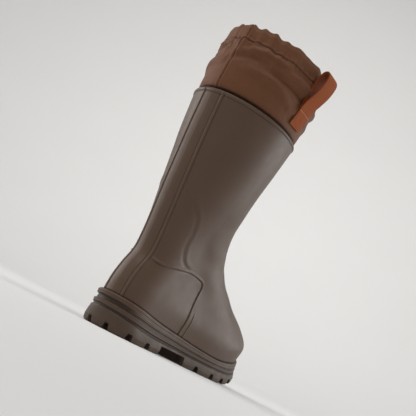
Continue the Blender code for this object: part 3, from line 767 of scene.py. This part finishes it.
# Grooves of the tread: width, then the points of the centre line. The wide ones start at the edge of the
# sole and narrow inwards, the others run beside it.
GROOVES = [
    # outer side of the heel
    (5.0, (-3, 11), (17, 7)), (4.0, (21, 19.5), (30, 10.5)), (6.5, (18, 44), (29, 26), (58, 14.5)),
    (5.4, (58, 46), (64, 30), (66, 12)), (6.0, (94, 18), (68, 13)),
    (4.0, (33, 27), (62, 27.5)), (4.0, (66, 28.5), (94, 30.5)),
    # inner side of the heel
    (5.2, (-4, -19), (18, -8.5)), (3.2, (20, -21), (30, -12)), (7.0, (20, -46), (37, -21)),
    (5.4, (56, -49), (65, -34), (67, -15)), (6.0, (94, -18), (69, -12)),
    (4.0, (38, -26), (62, -29)), (4.0, (67, -28.5), (94, -30.5)),
    # outer side of the forefoot
    (5.4, (156, 62), (165, 46), (176, 37), (182, 28)), (5.4, (194, 66), (202, 46), (204, 32)),
    (5.2, (221, 64), (228, 42), (231, 25)), (5.0, (247, 58), (252, 38), (253, 22)),
    (4.6, (270, 46), (264, 17)),
    (4.0, (147, 31), (167, 39.5)), (4.0, (179, 44), (199, 47)), (4.0, (205, 47), (226, 45)),
    (4.0, (230, 43.5), (249, 38)), (4.0, (253, 36), (267, 27)),
    # inner side of the forefoot
    (5.4, (156, -62), (171, -43), (180, -36), (181, -22)), (5.2, (196, -62), (206, -47), (212, -25)),
    (5.2, (224, -62), (237, -42), (231, -22)), (5.0, (254, -54), (260, -38), (260, -22)),
    (4.6, (280, -44), (268, -15)),
    (3.6, (147, -26), (171, -34.5)), (3.6, (182, -37), (204, -40.5)), (3.6, (210, -41), (233, -41)),
    (3.6, (241, -38), (258, -34)), (3.6, (262, -33), (275, -23)),
    # waist and toe
    (4.4, (141, 4), (161, 3)), (4.4, (292, 30), (276, 12)), (4.4, (308, -3), (271, -1)),
    (4.0, (265, 18), (271, 1), (267, -16)),
]
WAIST_CUT = [(90, -70), (90, 70), (141, 70), (143, 37), (157, 21), (147, 0), (157, -21), (143, -36),
             (141, -70)]
HEEL_SHIELD = [(27.5, -4), (29.5, 4), (35.5, 10), (45, 12.5), (56, 11), (64, 5.5), (68, -4), (64, -13.5),
               (56, -19), (45, -20.5), (35.5, -18), (29.5, -12)]
TOE_SHIELD = [(160, 1), (171, 14), (184, 26), (197, 33), (207, 28.5), (220, 22.5), (240, 22.5),
              (256, 18.5), (264, 2), (260, -17), (247, -23.5), (226, -18), (208, -22.5), (198, -29),
              (184, -22), (171, -12)]
HEEL_STUDS = [(36.5, -4), (49.5, 5), (49.5, -11), (60, -3.5)]
TOE_STUDS = [(175, -3), (187, 8), (187, -8), (200, 16), (204, 2), (203, -13), (215.5, 11), (217, -5.5),
             (230, 2.5), (231, 13.5), (234, -9.5), (243.5, 7), (248, -8), (254, 3)]
TREAD_POINTS, TREAD_ROWS = 460, 64  # points of each half of the tread's loops, rows from its edge inwards
TREAD_RISES = (0, .03, .06, .1, .15, .22, .29, .36, .45, .55, .65, .75, .85, .93, 1)  # rows of its side
GROUND_BLEND = 0.75  # how far the first row of TREAD_SIDE goes from the ground's outline to its own
EDGE_ROUND = 0.9  # radius of the lugs' outer edge
GROOVE_WALL, WALL_WITHIN = 2.8, 0.25  # run of a groove's sloping wall, and the share of it within the width
CROSS_GROOVE = 4.2  # grooves this wide or wider start at the edge of the sole
GROOVE_FLARE, FLARE_REACH = 0.6, 0.625  # shares: how much those widen there, and how far in that goes
GROOVE_TAPER = 0.25  # share by which they narrow at their inner end
SHALLOW = 0.75  # depth of the other grooves, as a share
WAIST_HEIGHT, WAIST_WALL = 11.0, 3.5  # rise of the waist over the lugs, and the run of the slope up to it
SHIELD_DEPTH, SHIELD_SLOPE = 5.0, 1.8  # field of a shield, and the run of the slope down to it
HEEL_RIM, TOE_RIM, RIM_DEPTH = 2.0, 4.5, 0.4  # flat rim of each shield, and how far it is sunk
SHIELD_LINE, HEEL_LINE, TOE_LINE = 2.6, 6.0, 3.6  # line round the rim: width, depth on each shield
HEEL_STUD, TOE_STUD, STUD_CLEAR = 6.2, 5.2, 0.4  # radius of the studs, and their tips above the ground
STUD_FLAT = 5  # power that flattens their tips and steepens their sides
SHIELDS = [(HEEL_SHIELD, HEEL_RIM, HEEL_LINE, HEEL_STUDS, HEEL_STUD),
           (TOE_SHIELD, TOE_RIM, TOE_LINE, TOE_STUDS, TOE_STUD)]
DUST_AND_SHADE, DUST_AND_SHADE_POWER = 0.52, 2.5  # how far the floor of a recess is darkened, as dirt and painted shade, and how fast that fades up its walls


def along_line(points, line):
    """Distance of points in a plane from a bent line, and the share of its length at the nearest place."""
    line = np.asarray(line, float)
    run = lengths(line)
    best, share = np.full(len(points), np.inf), np.zeros(len(points))
    for start, end, before in zip(line, line[1:], run):
        leg = end - start
        t = np.clip((points - start) @ leg / (leg @ leg), 0, 1)
        gap = np.linalg.norm(points - start - t[:, None] * leg, axis=1)
        share = np.where(gap < best, (before + t * np.linalg.norm(leg)) / run[-1], share)
        best = np.minimum(best, gap)
    return best, share


def inside_distance(points, outline):
    """Distance of points in a plane from a closed outline, positive inside it."""
    gap, _ = along_line(points, [*outline, outline[0]])
    x, y = points.T
    inside = np.zeros(len(points), bool)
    for (ax, ay), (bx, by) in zip(outline, np.roll(outline, -1, 0)):
        if ay != by:
            inside ^= ((ay > y) != (by > y)) & (x < ax + (bx - ax) * (y - ay) / (by - ay))
    return np.where(inside, gap, -gap)


def rounded(outline):
    """An outline with its corners cut twice, so that they are round and its sides stay straight."""
    line = np.asarray(outline, float)
    for _ in range(2):
        quarter = (np.roll(line, -1, 0) - line) / 4
        line = np.stack([line + quarter, line + 3 * quarter], 1).reshape(-1, 2)
    return line


def tread_depth(x, y, lug_depth):
    """Depth of the tread's recesses at places on the sole, and how far they are darkened there: dusty floors,
    and painted shade.
    """
    points = np.stack([x.ravel(), y.ravel()], 1)
    depth = np.zeros(len(points))
    for width, *line in GROOVES:
        gap, share = along_line(points, line)
        half, full = width / 2, SHALLOW * lug_depth
        wall = min(GROOVE_WALL, half)
        if width >= CROSS_GROOVE:
            half *= 1 + GROOVE_FLARE * (1 - smooth(share / FLARE_REACH)) - GROOVE_TAPER * share
            full = lug_depth
        depth = np.maximum(depth, full * (1 - smooth((gap - half) / wall + WALL_WITHIN)))
    # The floors of the recesses darken: dirt in them, and painted shade.
    dust_and_shade = depth / lug_depth
    depth = np.maximum(depth, WAIST_HEIGHT * smooth(inside_distance(points, WAIST_CUT) / WAIST_WALL + 0.5))
    for outline, rim, line_depth, studs, radius in SHIELDS:
        within = inside_distance(points, rounded(outline))
        plate = RIM_DEPTH * smooth(within)
        plate += (SHIELD_DEPTH - RIM_DEPTH) * smooth((within - rim) / SHIELD_SLOPE)
        for stud in studs:
            reach = np.linalg.norm(points - stud, axis=1) / radius
            tip = np.sqrt(np.clip(1 - reach ** STUD_FLAT, 0, 1))
            stud_top = SHIELD_DEPTH - (SHIELD_DEPTH - STUD_CLEAR) * tip
            plate = np.where(reach < 1, np.minimum(plate, stud_top), plate)
        cut = swell(within, SHIELD_LINE)
        depth = np.maximum(np.where(within > 0, plate, depth), line_depth * cut)
        # The line round each shield is darkened most: painted shade, with dirt.
        dust_and_shade = np.maximum(np.where(within > 0, plate / SHIELD_DEPTH, dust_and_shade), cut)
    return depth.reshape(x.shape), DUST_AND_SHADE * dust_and_shade.reshape(x.shape) ** DUST_AND_SHADE_POWER


def tread_loops():
    """Loops up the plain side of the tread, from the ground to the joint."""
    ground = closed(sized(SOLE_GROUND), TREAD_POINTS)
    outlines = [ground] + [sole_outline(blend, TREAD_POINTS) for _, blend in TREAD_SIDE]
    outlines[1] = ground + (outlines[1] - ground) * GROUND_BLEND
    rises = [0] + [rise for rise, _ in TREAD_SIDE]
    loops = []
    for rise in TREAD_RISES:
        k = max(np.searchsorted(rises, rise) - 1, 0)
        share = (rise - rises[k]) / (rises[k + 1] - rises[k])
        loop = outlines[k] + (outlines[k + 1] - outlines[k]) * share
        low, high = spring(loop[:, 0]), spline(JOINT_LINE, loop[:, 0])
        loop[:, 2] = low + (high - low) * rise
        loops.append(loop)
    return np.stack(loops)


class BOOT_OT_tread(bpy.types.Operator):
    """Moulds the outsole with its lugs, shields, studs and waist"""

    bl_idname = "boot.tread"
    bl_label = "Tread"

    def execute(self, context):
        lug_depth = context.scene.boot_sizes.lug_depth / MM
        side = tread_loops()
        edge = side[0]

        def ground(row):
            from_edge = np.linalg.norm(row[:, :2] - edge[:, :2], axis=1)
            turned_up = EDGE_ROUND * (1 - smooth(from_edge / (2 * EDGE_ROUND)))
            depth, _ = tread_depth(row[:, 0], row[:, 1], lug_depth)
            return spring(row[:, 0]) + np.maximum(depth, turned_up)

        depth, _ = tread_depth(side[:, :, 0], side[:, :, 1], lug_depth)
        floor = spring(side[:, :, 0]) + depth
        floor[0] = ground(edge)
        side[:, :, 2] = np.maximum(side[:, :, 2], floor)
        every = slab(side, ground, lambda row: spline(JOINT_LINE, row[:, 0]), TREAD_ROWS, over_rows=1)
        depth, dust_and_shade = tread_depth(every[:, :, 0], every[:, :, 1], lug_depth)
        reached = every[:, :, 2] - spring(every[:, :, 0]) <= depth + EDGE_ROUND
        colour = context.scene.boot_finishes.outsole
        rubber = moulded_rubber("outsole rubber", colour, rough_low=0.5, rough_high=0.66, grain=1.1)
        # The underside darkens in its recesses: dirt, and painted shade.
        dress(add_mesh("tread", lofted(every, -dust_and_shade * reached), rubber), "outsole_rubber", "outsole")
        return {"FINISHED"}


INSOLE_CLEAR, INSOLE_ROUND = 0.6, 1.5  # room to the wall, and how far the edges are rounded in
INSOLE_POINTS, INSOLE_SIDE, INSOLE_ROWS = 40, 9, 8  # of each stretch of its edge, up its side, to its middle


class BOOT_OT_insole(bpy.types.Operator):
    """Lays the felt insole inside the upper"""

    bl_idname = "boot.insole"
    bl_label = "Insole"

    def execute(self, context):
        sizes = context.scene.boot_sizes
        thick, inset = sizes.insole / MM, sizes.wall / MM + INSOLE_CLEAR

        def under(row):
            return spline(WELT_LINE, row[:, 0]) + GAP

        edge = ring(*[half_section(section_at(0), side, INSOLE_POINTS) for side in (1, -1)])
        loops = []
        for angle in np.linspace(-math.pi / 2, math.pi / 2, INSOLE_SIDE):
            loop = edge - outward(edge) * (inset + INSOLE_ROUND * (1 - math.cos(angle)))
            loop[:, 2] = under(loop) + thick / 2 * (1 + math.sin(angle))
            loops.append(loop)
        every = slab(loops, under, lambda row: under(row) + thick, INSOLE_ROWS, INSOLE_ROWS)
        felt = napped("needled felt", context.scene.boot_finishes.felt, fibre=1.8, depth=0.4)
        insole = dress(add_mesh("felt_insole", lofted(every), felt), "felt", "insole")
        return {"FINISHED"}


# The cuff

# Height over the rim, inset from the outline of the rim's outer face, lean to the inner side
CUFF_SECTIONS = [(-10.0, 4.6, 0.0), (0.0, 5.2, 0.0), (1.6, 5.0, 0.0), (4.4, 2.8, 0.1), (7.5, 1.8, 0.2),
                 (14.0, 1.2, 0.6), (32.0, 0.2, 2.0), (50.0, -0.4, 3.4), (68.0, -0.4, 4.5), (70.0, 0.6, 4.6),
                 (84.0, 0.9, 5.2), (90.0, 2.6, 5.4)]
CUFF_ROUND = 470.0  # length round the rim
CUFF_POINTS, CUFF_STEPS, HEM_STEPS = 268, (3, 13, 31, 40), 5  # round each half, up it, over its edge
TUCK_TOP = 9.0  # height up to which the cloth rounds out of the rim
TUCK_SHADE, TUCK_FROM, TUCK_RUN = 1.3, 2.2, 3.6  # its painted shade, where the cloth tucks into the rim: how far, height and run over which it ends
HEM_SEAM, SEAM_BAND = 69.0, 4.0  # seam that closes the hem, over the rim, and the room of close rows under it
# Relief across that seam, and across the back seam on either side: height, place, width
HEM_PROFILE = [(-0.9, 0.0, 2.6), (0.5, 2.6, 4.0)]
BACK_PROFILE = [(-1.0, 0.0, 2.2), (0.35, 2.6, 4.0)]
HEM_SHIFT = 3.5  # how far the hem's part of the back seam is set over to the inner side
# Loose folds: place round the cuff and height of both ends, depth as a share, width
SLACK_FOLDS = [
    (.01, 58, .13, 52, -.9, 13), (.05, 63, .19, 60, .7, 10), (.03, 38, .17, 26, .8, 17),
    (.15, 50, .29, 40, .7, 15), (.20, 60, .33, 55, -.8, 12), (.22, 24, .36, 30, .7, 18),
    (.31, 58, .44, 46, .7, 13), (.38, 32, .53, 36, -.7, 18), (.42, 60, .56, 54, .8, 12),
    (.50, 20, .64, 28, .6, 17), (.55, 48, .69, 40, .8, 15), (.62, 60, .75, 56, -.8, 12),
    (.66, 30, .79, 22, .7, 16), (.72, 50, .86, 54, .9, 12), (.74, 40, .90, 44, -.9, 12),
    (.80, 28, .95, 36, .8, 16), (.85, 62, .98, 56, .8, 11), (.90, 50, 1.01, 42, -.6, 13),
]
FOLD_BOW, FOLD_SPREAD, FOLD_END = 5.0, 1.15, 0.12  # rise of a fold's middle, scale of the widths, blunt ends
FOLDS_TOP, FOLDS_RISE, FOLDS_FALL = 70.0, 16.0, 10.0  # where the folds end, runs of their rise and fall
# Gathers of the hem, which come and go round it: number round, phase, share
GATHERS = [(9, 1.1, 0.8), (13, 2.9, 0.9), (23, 0.2, 0.9), (37, 1.7, 0.35), (61, 0.9, 0.2)]
DRIFT, DRIFTS = 0.35, 3  # how far the gathers wander to the side, in turns, and how often
BUNCH, BUNCHES, BUNCH_PHASE = 0.45, 2, 1.3  # how far they swell and fade, how often, shift against the phase
PULL_FROM, PULL_RUN = 34.0, 31.0  # height where the gathers start, and the run of their rise
HEM_SLACK, SLACK_RUN = 0.35, 12.0  # share that they lose in the hem, and the run of that
EDGE_WAVE, EDGE_FROM, EDGE_LAG = 1.1, 50.0, 0.004  # lift of the hem's edge, where it starts, its lag in turns
PUCKERS, PUCKER_HEIGHT, PUCKER_REACH = 57, 0.42, 19.0  # puckers along the hem's seam: number, size, reach
PUCKER_DRIFT, PUCKER_DRIFTS = 0.5, 7  # how far they wander to the side, in turns, and how often


def wave(turns):
    """Sine of a number of turns."""
    return np.sin(2 * math.pi * turns)


def gather_wave(share):
    """Height of the gathers round the cuff, bunched in some places and slack in others."""
    height = np.zeros(np.shape(share))
    for number, phase, part in GATHERS:
        bunch = 1 - BUNCH + BUNCH * wave(BUNCHES * share + BUNCH_PHASE * phase)
        height += part * bunch * wave(number * share + DRIFT * wave(DRIFTS * share + phase))
    return height


def cuff_relief(share, up, sizes):
    """Height of the cloth's folds and gathers over the plain cuff, and of its seams alone with painted shade
    where it tucks into the rim, which tints the cloth.
    """
    relief = np.zeros(np.shape(share))
    for from_share, from_up, to_share, to_up, strength, width in SLACK_FOLDS:
        run_x, run_y = (to_share - from_share) * CUFF_ROUND, to_up - from_up
        for turn in (-1, 0, 1):
            x, y = (share - from_share - turn) * CUFF_ROUND, up - from_up
            t = np.clip((x * run_x + y * run_y) / (run_x ** 2 + run_y ** 2), 0, 1)
            d = np.hypot(x - run_x * t, y - run_y * t - FOLD_BOW * np.sin(math.pi * t))
            along = np.sin(math.pi * (FOLD_END + (1 - 2 * FOLD_END) * t))
            relief += sizes.folds / MM * strength * swell(d, width * FOLD_SPREAD) * along
    relief *= smooth(up / FOLDS_RISE) * smooth((FOLDS_TOP - up) / FOLDS_FALL)
    pull = smooth((up - PULL_FROM) / PULL_RUN) - HEM_SLACK * smooth((up - HEM_SEAM) / SLACK_RUN)
    relief += sizes.gathers / MM * gather_wave(share) * pull
    pucker = wave(PUCKERS * share + PUCKER_DRIFT * wave(PUCKER_DRIFTS * share))
    relief += PUCKER_HEIGHT * pucker * swell(up - HEM_SEAM, PUCKER_REACH)
    half_round = CUFF_ROUND / 2
    to_back = (share * CUFF_ROUND + HEM_SHIFT * (up > HEM_SEAM) + half_round) % CUFF_ROUND - half_round
    seam = swells(up - HEM_SEAM, HEM_PROFILE) + swells(np.abs(to_back), BACK_PROFILE)
    # The second value is painted shade: dark in the seams' creases and where the cloth tucks into the rim.
    return relief + seam, seam - TUCK_SHADE * (1 - smooth((up - TUCK_FROM) / TUCK_RUN))


def cuff_loops(sizes):
    """Loops of the cuff up its outside, over the hem and down inside, with their relief."""
    table, wall = np.array(CUFF_SECTIONS), sizes.cuff_wall / MM
    per_level = SHAFT_HEIGHT * (SECTIONS[-1][1] - SECTIONS[-2][1])
    rim = closed(section_at(LAST), CUFF_POINTS)
    run = lengths(np.concatenate([rim, rim[:1]]))
    share = run[:-1] / run[-1]
    outer, inner, heights = [], [], []
    for up in spaced(table[0, 0], (0, TUCK_TOP, HEM_SEAM - SEAM_BAND, CUFF_TOP - wall / 2), CUFF_STEPS):
        loop = closed(section_at(LAST + min(up, 0) / per_level), CUFF_POINTS)
        normal = outward(loop)
        relief, line = cuff_relief(share, up, sizes)
        lift = EDGE_WAVE * smooth((up - EDGE_FROM) / (CUFF_TOP - EDGE_FROM))
        loop[:, 2] += max(up, 0) + lift * (gather_wave(share + EDGE_LAG) - 1)
        inset, lean = (np.interp(up, table[:, 0], table[:, c]) for c in (1, 2))
        loop[:, 1] -= lean
        outer.append(loop + normal * (relief - inset)[:, None])
        inner.append(loop + normal * (relief - inset - wall)[:, None])
        # painted shade of the seams and of the tuck, kept for the cloth's tint
        heights.append(line)
    base = (outer[-1][:, 2] + inner[-1][:, 2]) / 2
    edge = rolled(outer[-1], inner[-1], base, wall / 2, HEM_STEPS)
    lines = [*heights, *np.zeros((HEM_STEPS, len(share))), *heights[::-1]]
    return np.stack([*outer, *edge, *inner[::-1]]), np.stack(lines)


class BOOT_OT_cuff(bpy.types.Operator):
    """Gathers the nylon cuff between the rim and its hem"""

    bl_idname = "boot.cuff"
    bl_label = "Cuff"

    def execute(self, context):
        loops, lines = cuff_loops(context.scene.boot_sizes)
        colour = context.scene.boot_finishes.nylon
        nylon = woven("woven brown nylon", colour, thread=2.0, rough=0.62, streak=14, crinkle=11)
        cuff = dress(add_mesh("nylon_cuff", lofted(loops, lines, wrap=True), nylon), "nylon", "cuff")
        return {"FINISHED"}


# The pull loop

# Seen along the webbing's edge: distance out from the rim, height over it
LOOP_PATH = [(2.1, 27.0), (2.9, 32.0), (4.3, 43.0), (5.4, 56.0), (7.2, 69.0), (10.4, 80.0), (14.3, 86.5),
             (18.6, 87.5), (21.4, 83.0), (21.2, 75.5), (18.6, 65.0), (13.6, 54.0), (8.2, 43.5), (5.3, 34.0),
             (4.1, 27.0), (2.2, 19.5), (0.2, 12.0)]
LOOP_STEPS, LOOP_ACROSS = 130, 10  # points along the webbing, and across each face
EDGE_THIN, EDGE_THIN_POWER = 0.55, 8  # share by which its edges are thinner, and how near to them that starts
EDGE_SHADE, EDGE_SHADE_POWER = 0.55, 14  # the same for the painted shade along them
STITCH_UP, STITCH_PITCH, STITCH_LENGTH, STITCH_THICK = 31.0, 3.2, 2.7, 0.7  # row over the rim, stitches


def loop_line(thick):
    """Middle of the webbing as y and z, evenly spaced."""
    path = np.array(LOOP_PATH)
    run = lengths(path)
    out, up = between(run, path, np.linspace(0, run[-1], LOOP_STEPS)).T
    return np.stack([LOOP_LOW[1] + thick / 2 + out.max() - out, LOOP_LOW[2] + up - up.min()], 1)


class BOOT_OT_pull_loop(bpy.types.Operator):
    """Sews the webbing pull loop to the cuff"""

    bl_idname = "boot.pull_loop"
    bl_label = "Pull loop"

    def execute(self, context):
        sizes, finishes = context.scene.boot_sizes, context.scene.boot_finishes
        thick = sizes.webbing / MM
        line = loop_line(thick)
        half = (LOOP_HIGH[0] - LOOP_LOW[0]) / 2
        middle = (LOOP_HIGH[0] + LOOP_LOW[0]) / 2 + HEEL_REST
        across = np.sin(np.linspace(-math.pi / 2, math.pi / 2, LOOP_ACROSS))
        across = np.concatenate([across, across[::-1]])
        face = np.repeat((thick / 2, -thick / 2), LOOP_ACROSS)
        face *= 1 - EDGE_THIN * np.abs(across) ** EDGE_THIN_POWER
        yz = line[:, None] + leftward(line)[:, None] * face[:, None]
        x = np.broadcast_to(middle + half * across, yz.shape[:2])
        # Painted shade along the webbing's edges
        shade = np.broadcast_to(-EDGE_SHADE * np.abs(across) ** EDGE_SHADE_POWER, x.shape)
        bm = lofted(np.concatenate([x[:, :, None], yz], 2), shade)
        bmesh.ops.remove_doubles(bm, verts=bm.verts, dist=WELD)
        bmesh.ops.holes_fill(bm, edges=[edge for edge in bm.edges if edge.is_boundary], sides=0)
        webbing = woven("woven orange webbing", finishes.webbing,
                        thread=2.6, rough=0.75, streak=9, crinkle=16)
        loop = dress(add_mesh("webbing_loop", bm, webbing), "webbing", "pull_loop")
        self.sew(line, thick, middle, half, finishes)
        return {"FINISHED"}

    def sew(self, line, thick, middle, half, finishes):
        """One row of stitches across both layers of the webbing."""
        bm = bmesh.new()
        leg = line[len(line) // 2:][::-1]
        z = RIM + STITCH_UP
        y = np.interp(z, leg[:, 1], leg[:, 0]) - thick / 2
        count = int(2 * half / STITCH_PITCH)
        size = Vector((STITCH_LENGTH, STITCH_THICK, STITCH_THICK)) * MM / 2
        for number in range(count):
            x = middle + (number - (count - 1) / 2) * STITCH_PITCH
            made = bmesh.ops.create_uvsphere(bm, u_segments=8, v_segments=6, radius=1)["verts"]
            bmesh.ops.scale(bm, verts=made, vec=size)
            bmesh.ops.translate(bm, verts=made, vec=Vector(placed((x, y, z))))
        dress(add_mesh("loop_stitches", bm, spun_thread("polyester thread", finishes.thread)), "webbing")


# The stage

IMAGE = 416  # side of the picture, in pixels
LENS_PX = 824.0  # focal length of the photograph's camera, in those pixels
CAMERA_AZIMUTH = -54.8  # degrees round the boot, where 0 looks along +Y
CAMERA_HEIGHT, CAMERA_AWAY, CAMERA_ROLL = 0.02, 1.03, 26.7  # metres, metres, degrees
AIM = (0.100, 0.014, 0.191)  # point of the boot in the middle of the picture
FLOOR_RADIUS, BOWL_RADIUS, BOWL_HEIGHT = 1.5, 2.4, 3.4  # flat floor, its turn up to the backdrop, top of that
BOWL_STEPS, BOWL_TURNS = 12, 96  # steps of the turn up, and round the boot
ROOM_LIGHT, ROOM_STRENGTH = (1, 0.99, 0.98, 1), 0.2  # light from all round


def camera_pose():
    """Place of the camera, with its axes (right, up and back) before and after it is rolled."""
    a = math.radians(CAMERA_AZIMUTH)
    back = Vector((math.sin(a), -math.cos(a), 0))
    place = Vector(AIM) + back * CAMERA_AWAY
    place.z = CAMERA_HEIGHT
    level = (Vector(AIM) - place).to_track_quat("-Z", "Y").to_matrix()
    return place, level, level @ Matrix.Rotation(math.radians(CAMERA_ROLL), 3, "Z")


def add_bowl(paper):
    """Floor and backdrop in one: a profile turned round the boot."""
    bm = bmesh.new()
    profile = [(0, 0), (FLOOR_RADIUS, 0)]
    for angle in np.linspace(0, math.pi / 2, BOWL_STEPS + 1)[1:]:
        profile.append((FLOOR_RADIUS + BOWL_RADIUS * math.sin(angle), BOWL_RADIUS * (1 - math.cos(angle))))
    profile.append((FLOOR_RADIUS + BOWL_RADIUS, BOWL_HEIGHT))
    verts = [bm.verts.new((x, 0, z)) for x, z in profile]
    edges = [bm.edges.new(pair) for pair in zip(verts, verts[1:])]
    bmesh.ops.spin(bm, geom=verts + edges, cent=(0, 0, 0), axis=(0, 0, 1), angle=2 * math.pi,
                   steps=BOWL_TURNS, use_merge=True)
    floor = add_mesh("floor", bm, paper)
    floor.data.flip_normals()


def add_light(name, place, aim, size, spread, power):
    """A round area light at a place, turned to a point."""
    data = bpy.data.lights.new(name, "AREA")
    data.shape, data.size, data.spread, data.energy = "DISK", size, math.radians(spread), power
    light = bpy.data.objects.new(name, data)
    light.location = place
    light.rotation_mode = "QUATERNION"
    light.rotation_quaternion = (Vector(aim) - Vector(place)).to_track_quat("-Z", "Y")
    bpy.context.scene.collection.objects.link(light)


# Lights from the boot's middle, as the camera sees them before it is rolled: name, place and point that it
# is turned to (right, up, near), size, spread in degrees, power
LIGHTS = [
    ("key", (-0.6, 2.1, 0.5), (0, 0, 0.3), 1.4, 180, 17),
    ("left_edge", (-1.4, 0.3, -0.5), (0, 0, 0), 1.0, 120, 4.5),
    ("right_edge", (1.4, 0.3, -0.6), (0, 0, 0), 1.0, 120, 4),
    ("top", (0.1, 1.9, 0.2), (0, 0, 0.3), 1.4, 180, 8),
    ("backdrop", (0.2, 2.5, -1.7), (0.2, 0.3, -2.9), 1.8, 120, 26),
]


class BOOT_OT_stage(bpy.types.Operator):
    """Sets the floor, the lights and the camera"""

    bl_idname = "boot.stage"
    bl_label = "Stage"

    def execute(self, context):
        scene = context.scene
        add_bowl(backdrop_paper("backdrop paper", scene.boot_finishes.floor))
        place, level, turn = camera_pose()
        data = bpy.data.cameras.new("camera")
        data.lens = LENS_PX * data.sensor_width / IMAGE
        camera = bpy.data.objects.new("camera", data)
        camera.matrix_world = Matrix.Translation(place) @ turn.to_4x4()
        scene.collection.objects.link(camera)
        scene.camera = camera
        for name, spot, target, *beam in LIGHTS:
            add_light(name, *[Vector(AIM) + level @ Vector(point) for point in (spot, target)], *beam)
        world = bpy.data.worlds.new("soft room")
        world.use_nodes = True
        feed(world.node_tree, world.node_tree.nodes["Background"],
             {"Color": ROOM_LIGHT, "Strength": ROOM_STRENGTH})
        scene.world = world
        scene.view_settings.view_transform = "Standard"
        return {"FINISHED"}


OPERATORS = (BOOT_OT_stage, BOOT_OT_upper, BOOT_OT_sidewall, BOOT_OT_tread, BOOT_OT_insole, BOOT_OT_cuff,
             BOOT_OT_pull_loop)


class BOOT_PT_panel(bpy.types.Panel):
    """Sizes, colours and pieces of the boot"""

    bl_label = "Winter boot"
    bl_idname = "BOOT_PT_panel"
    bl_space_type = "VIEW_3D"
    bl_region_type = "UI"
    bl_category = "Boot"

    def draw(self, context):
        for group in (context.scene.boot_sizes, context.scene.boot_finishes):
            column = self.layout.column()
            for name in group.bl_rna.properties.keys():
                if name not in {"rna_type", "name"}:
                    column.prop(group, name)
        for operator in OPERATORS:
            self.layout.operator(operator.bl_idname)


CLASSES = (BootSizes, BootFinishes, *OPERATORS, BOOT_PT_panel)


def register():
    for cls in CLASSES:
        bpy.utils.register_class(cls)
    bpy.types.Scene.boot_sizes = PointerProperty(type=BootSizes)
    bpy.types.Scene.boot_finishes = PointerProperty(type=BootFinishes)


def unregister():
    del bpy.types.Scene.boot_finishes
    del bpy.types.Scene.boot_sizes
    for cls in reversed(CLASSES):
        bpy.utils.unregister_class(cls)


def main():
    register()
    bpy.ops.boot.stage()
    bpy.ops.boot.upper()
    bpy.ops.boot.sidewall()
    bpy.ops.boot.tread()
    bpy.ops.boot.insole()
    bpy.ops.boot.cuff()
    bpy.ops.boot.pull_loop()


if __name__ == "__main__":
    main()
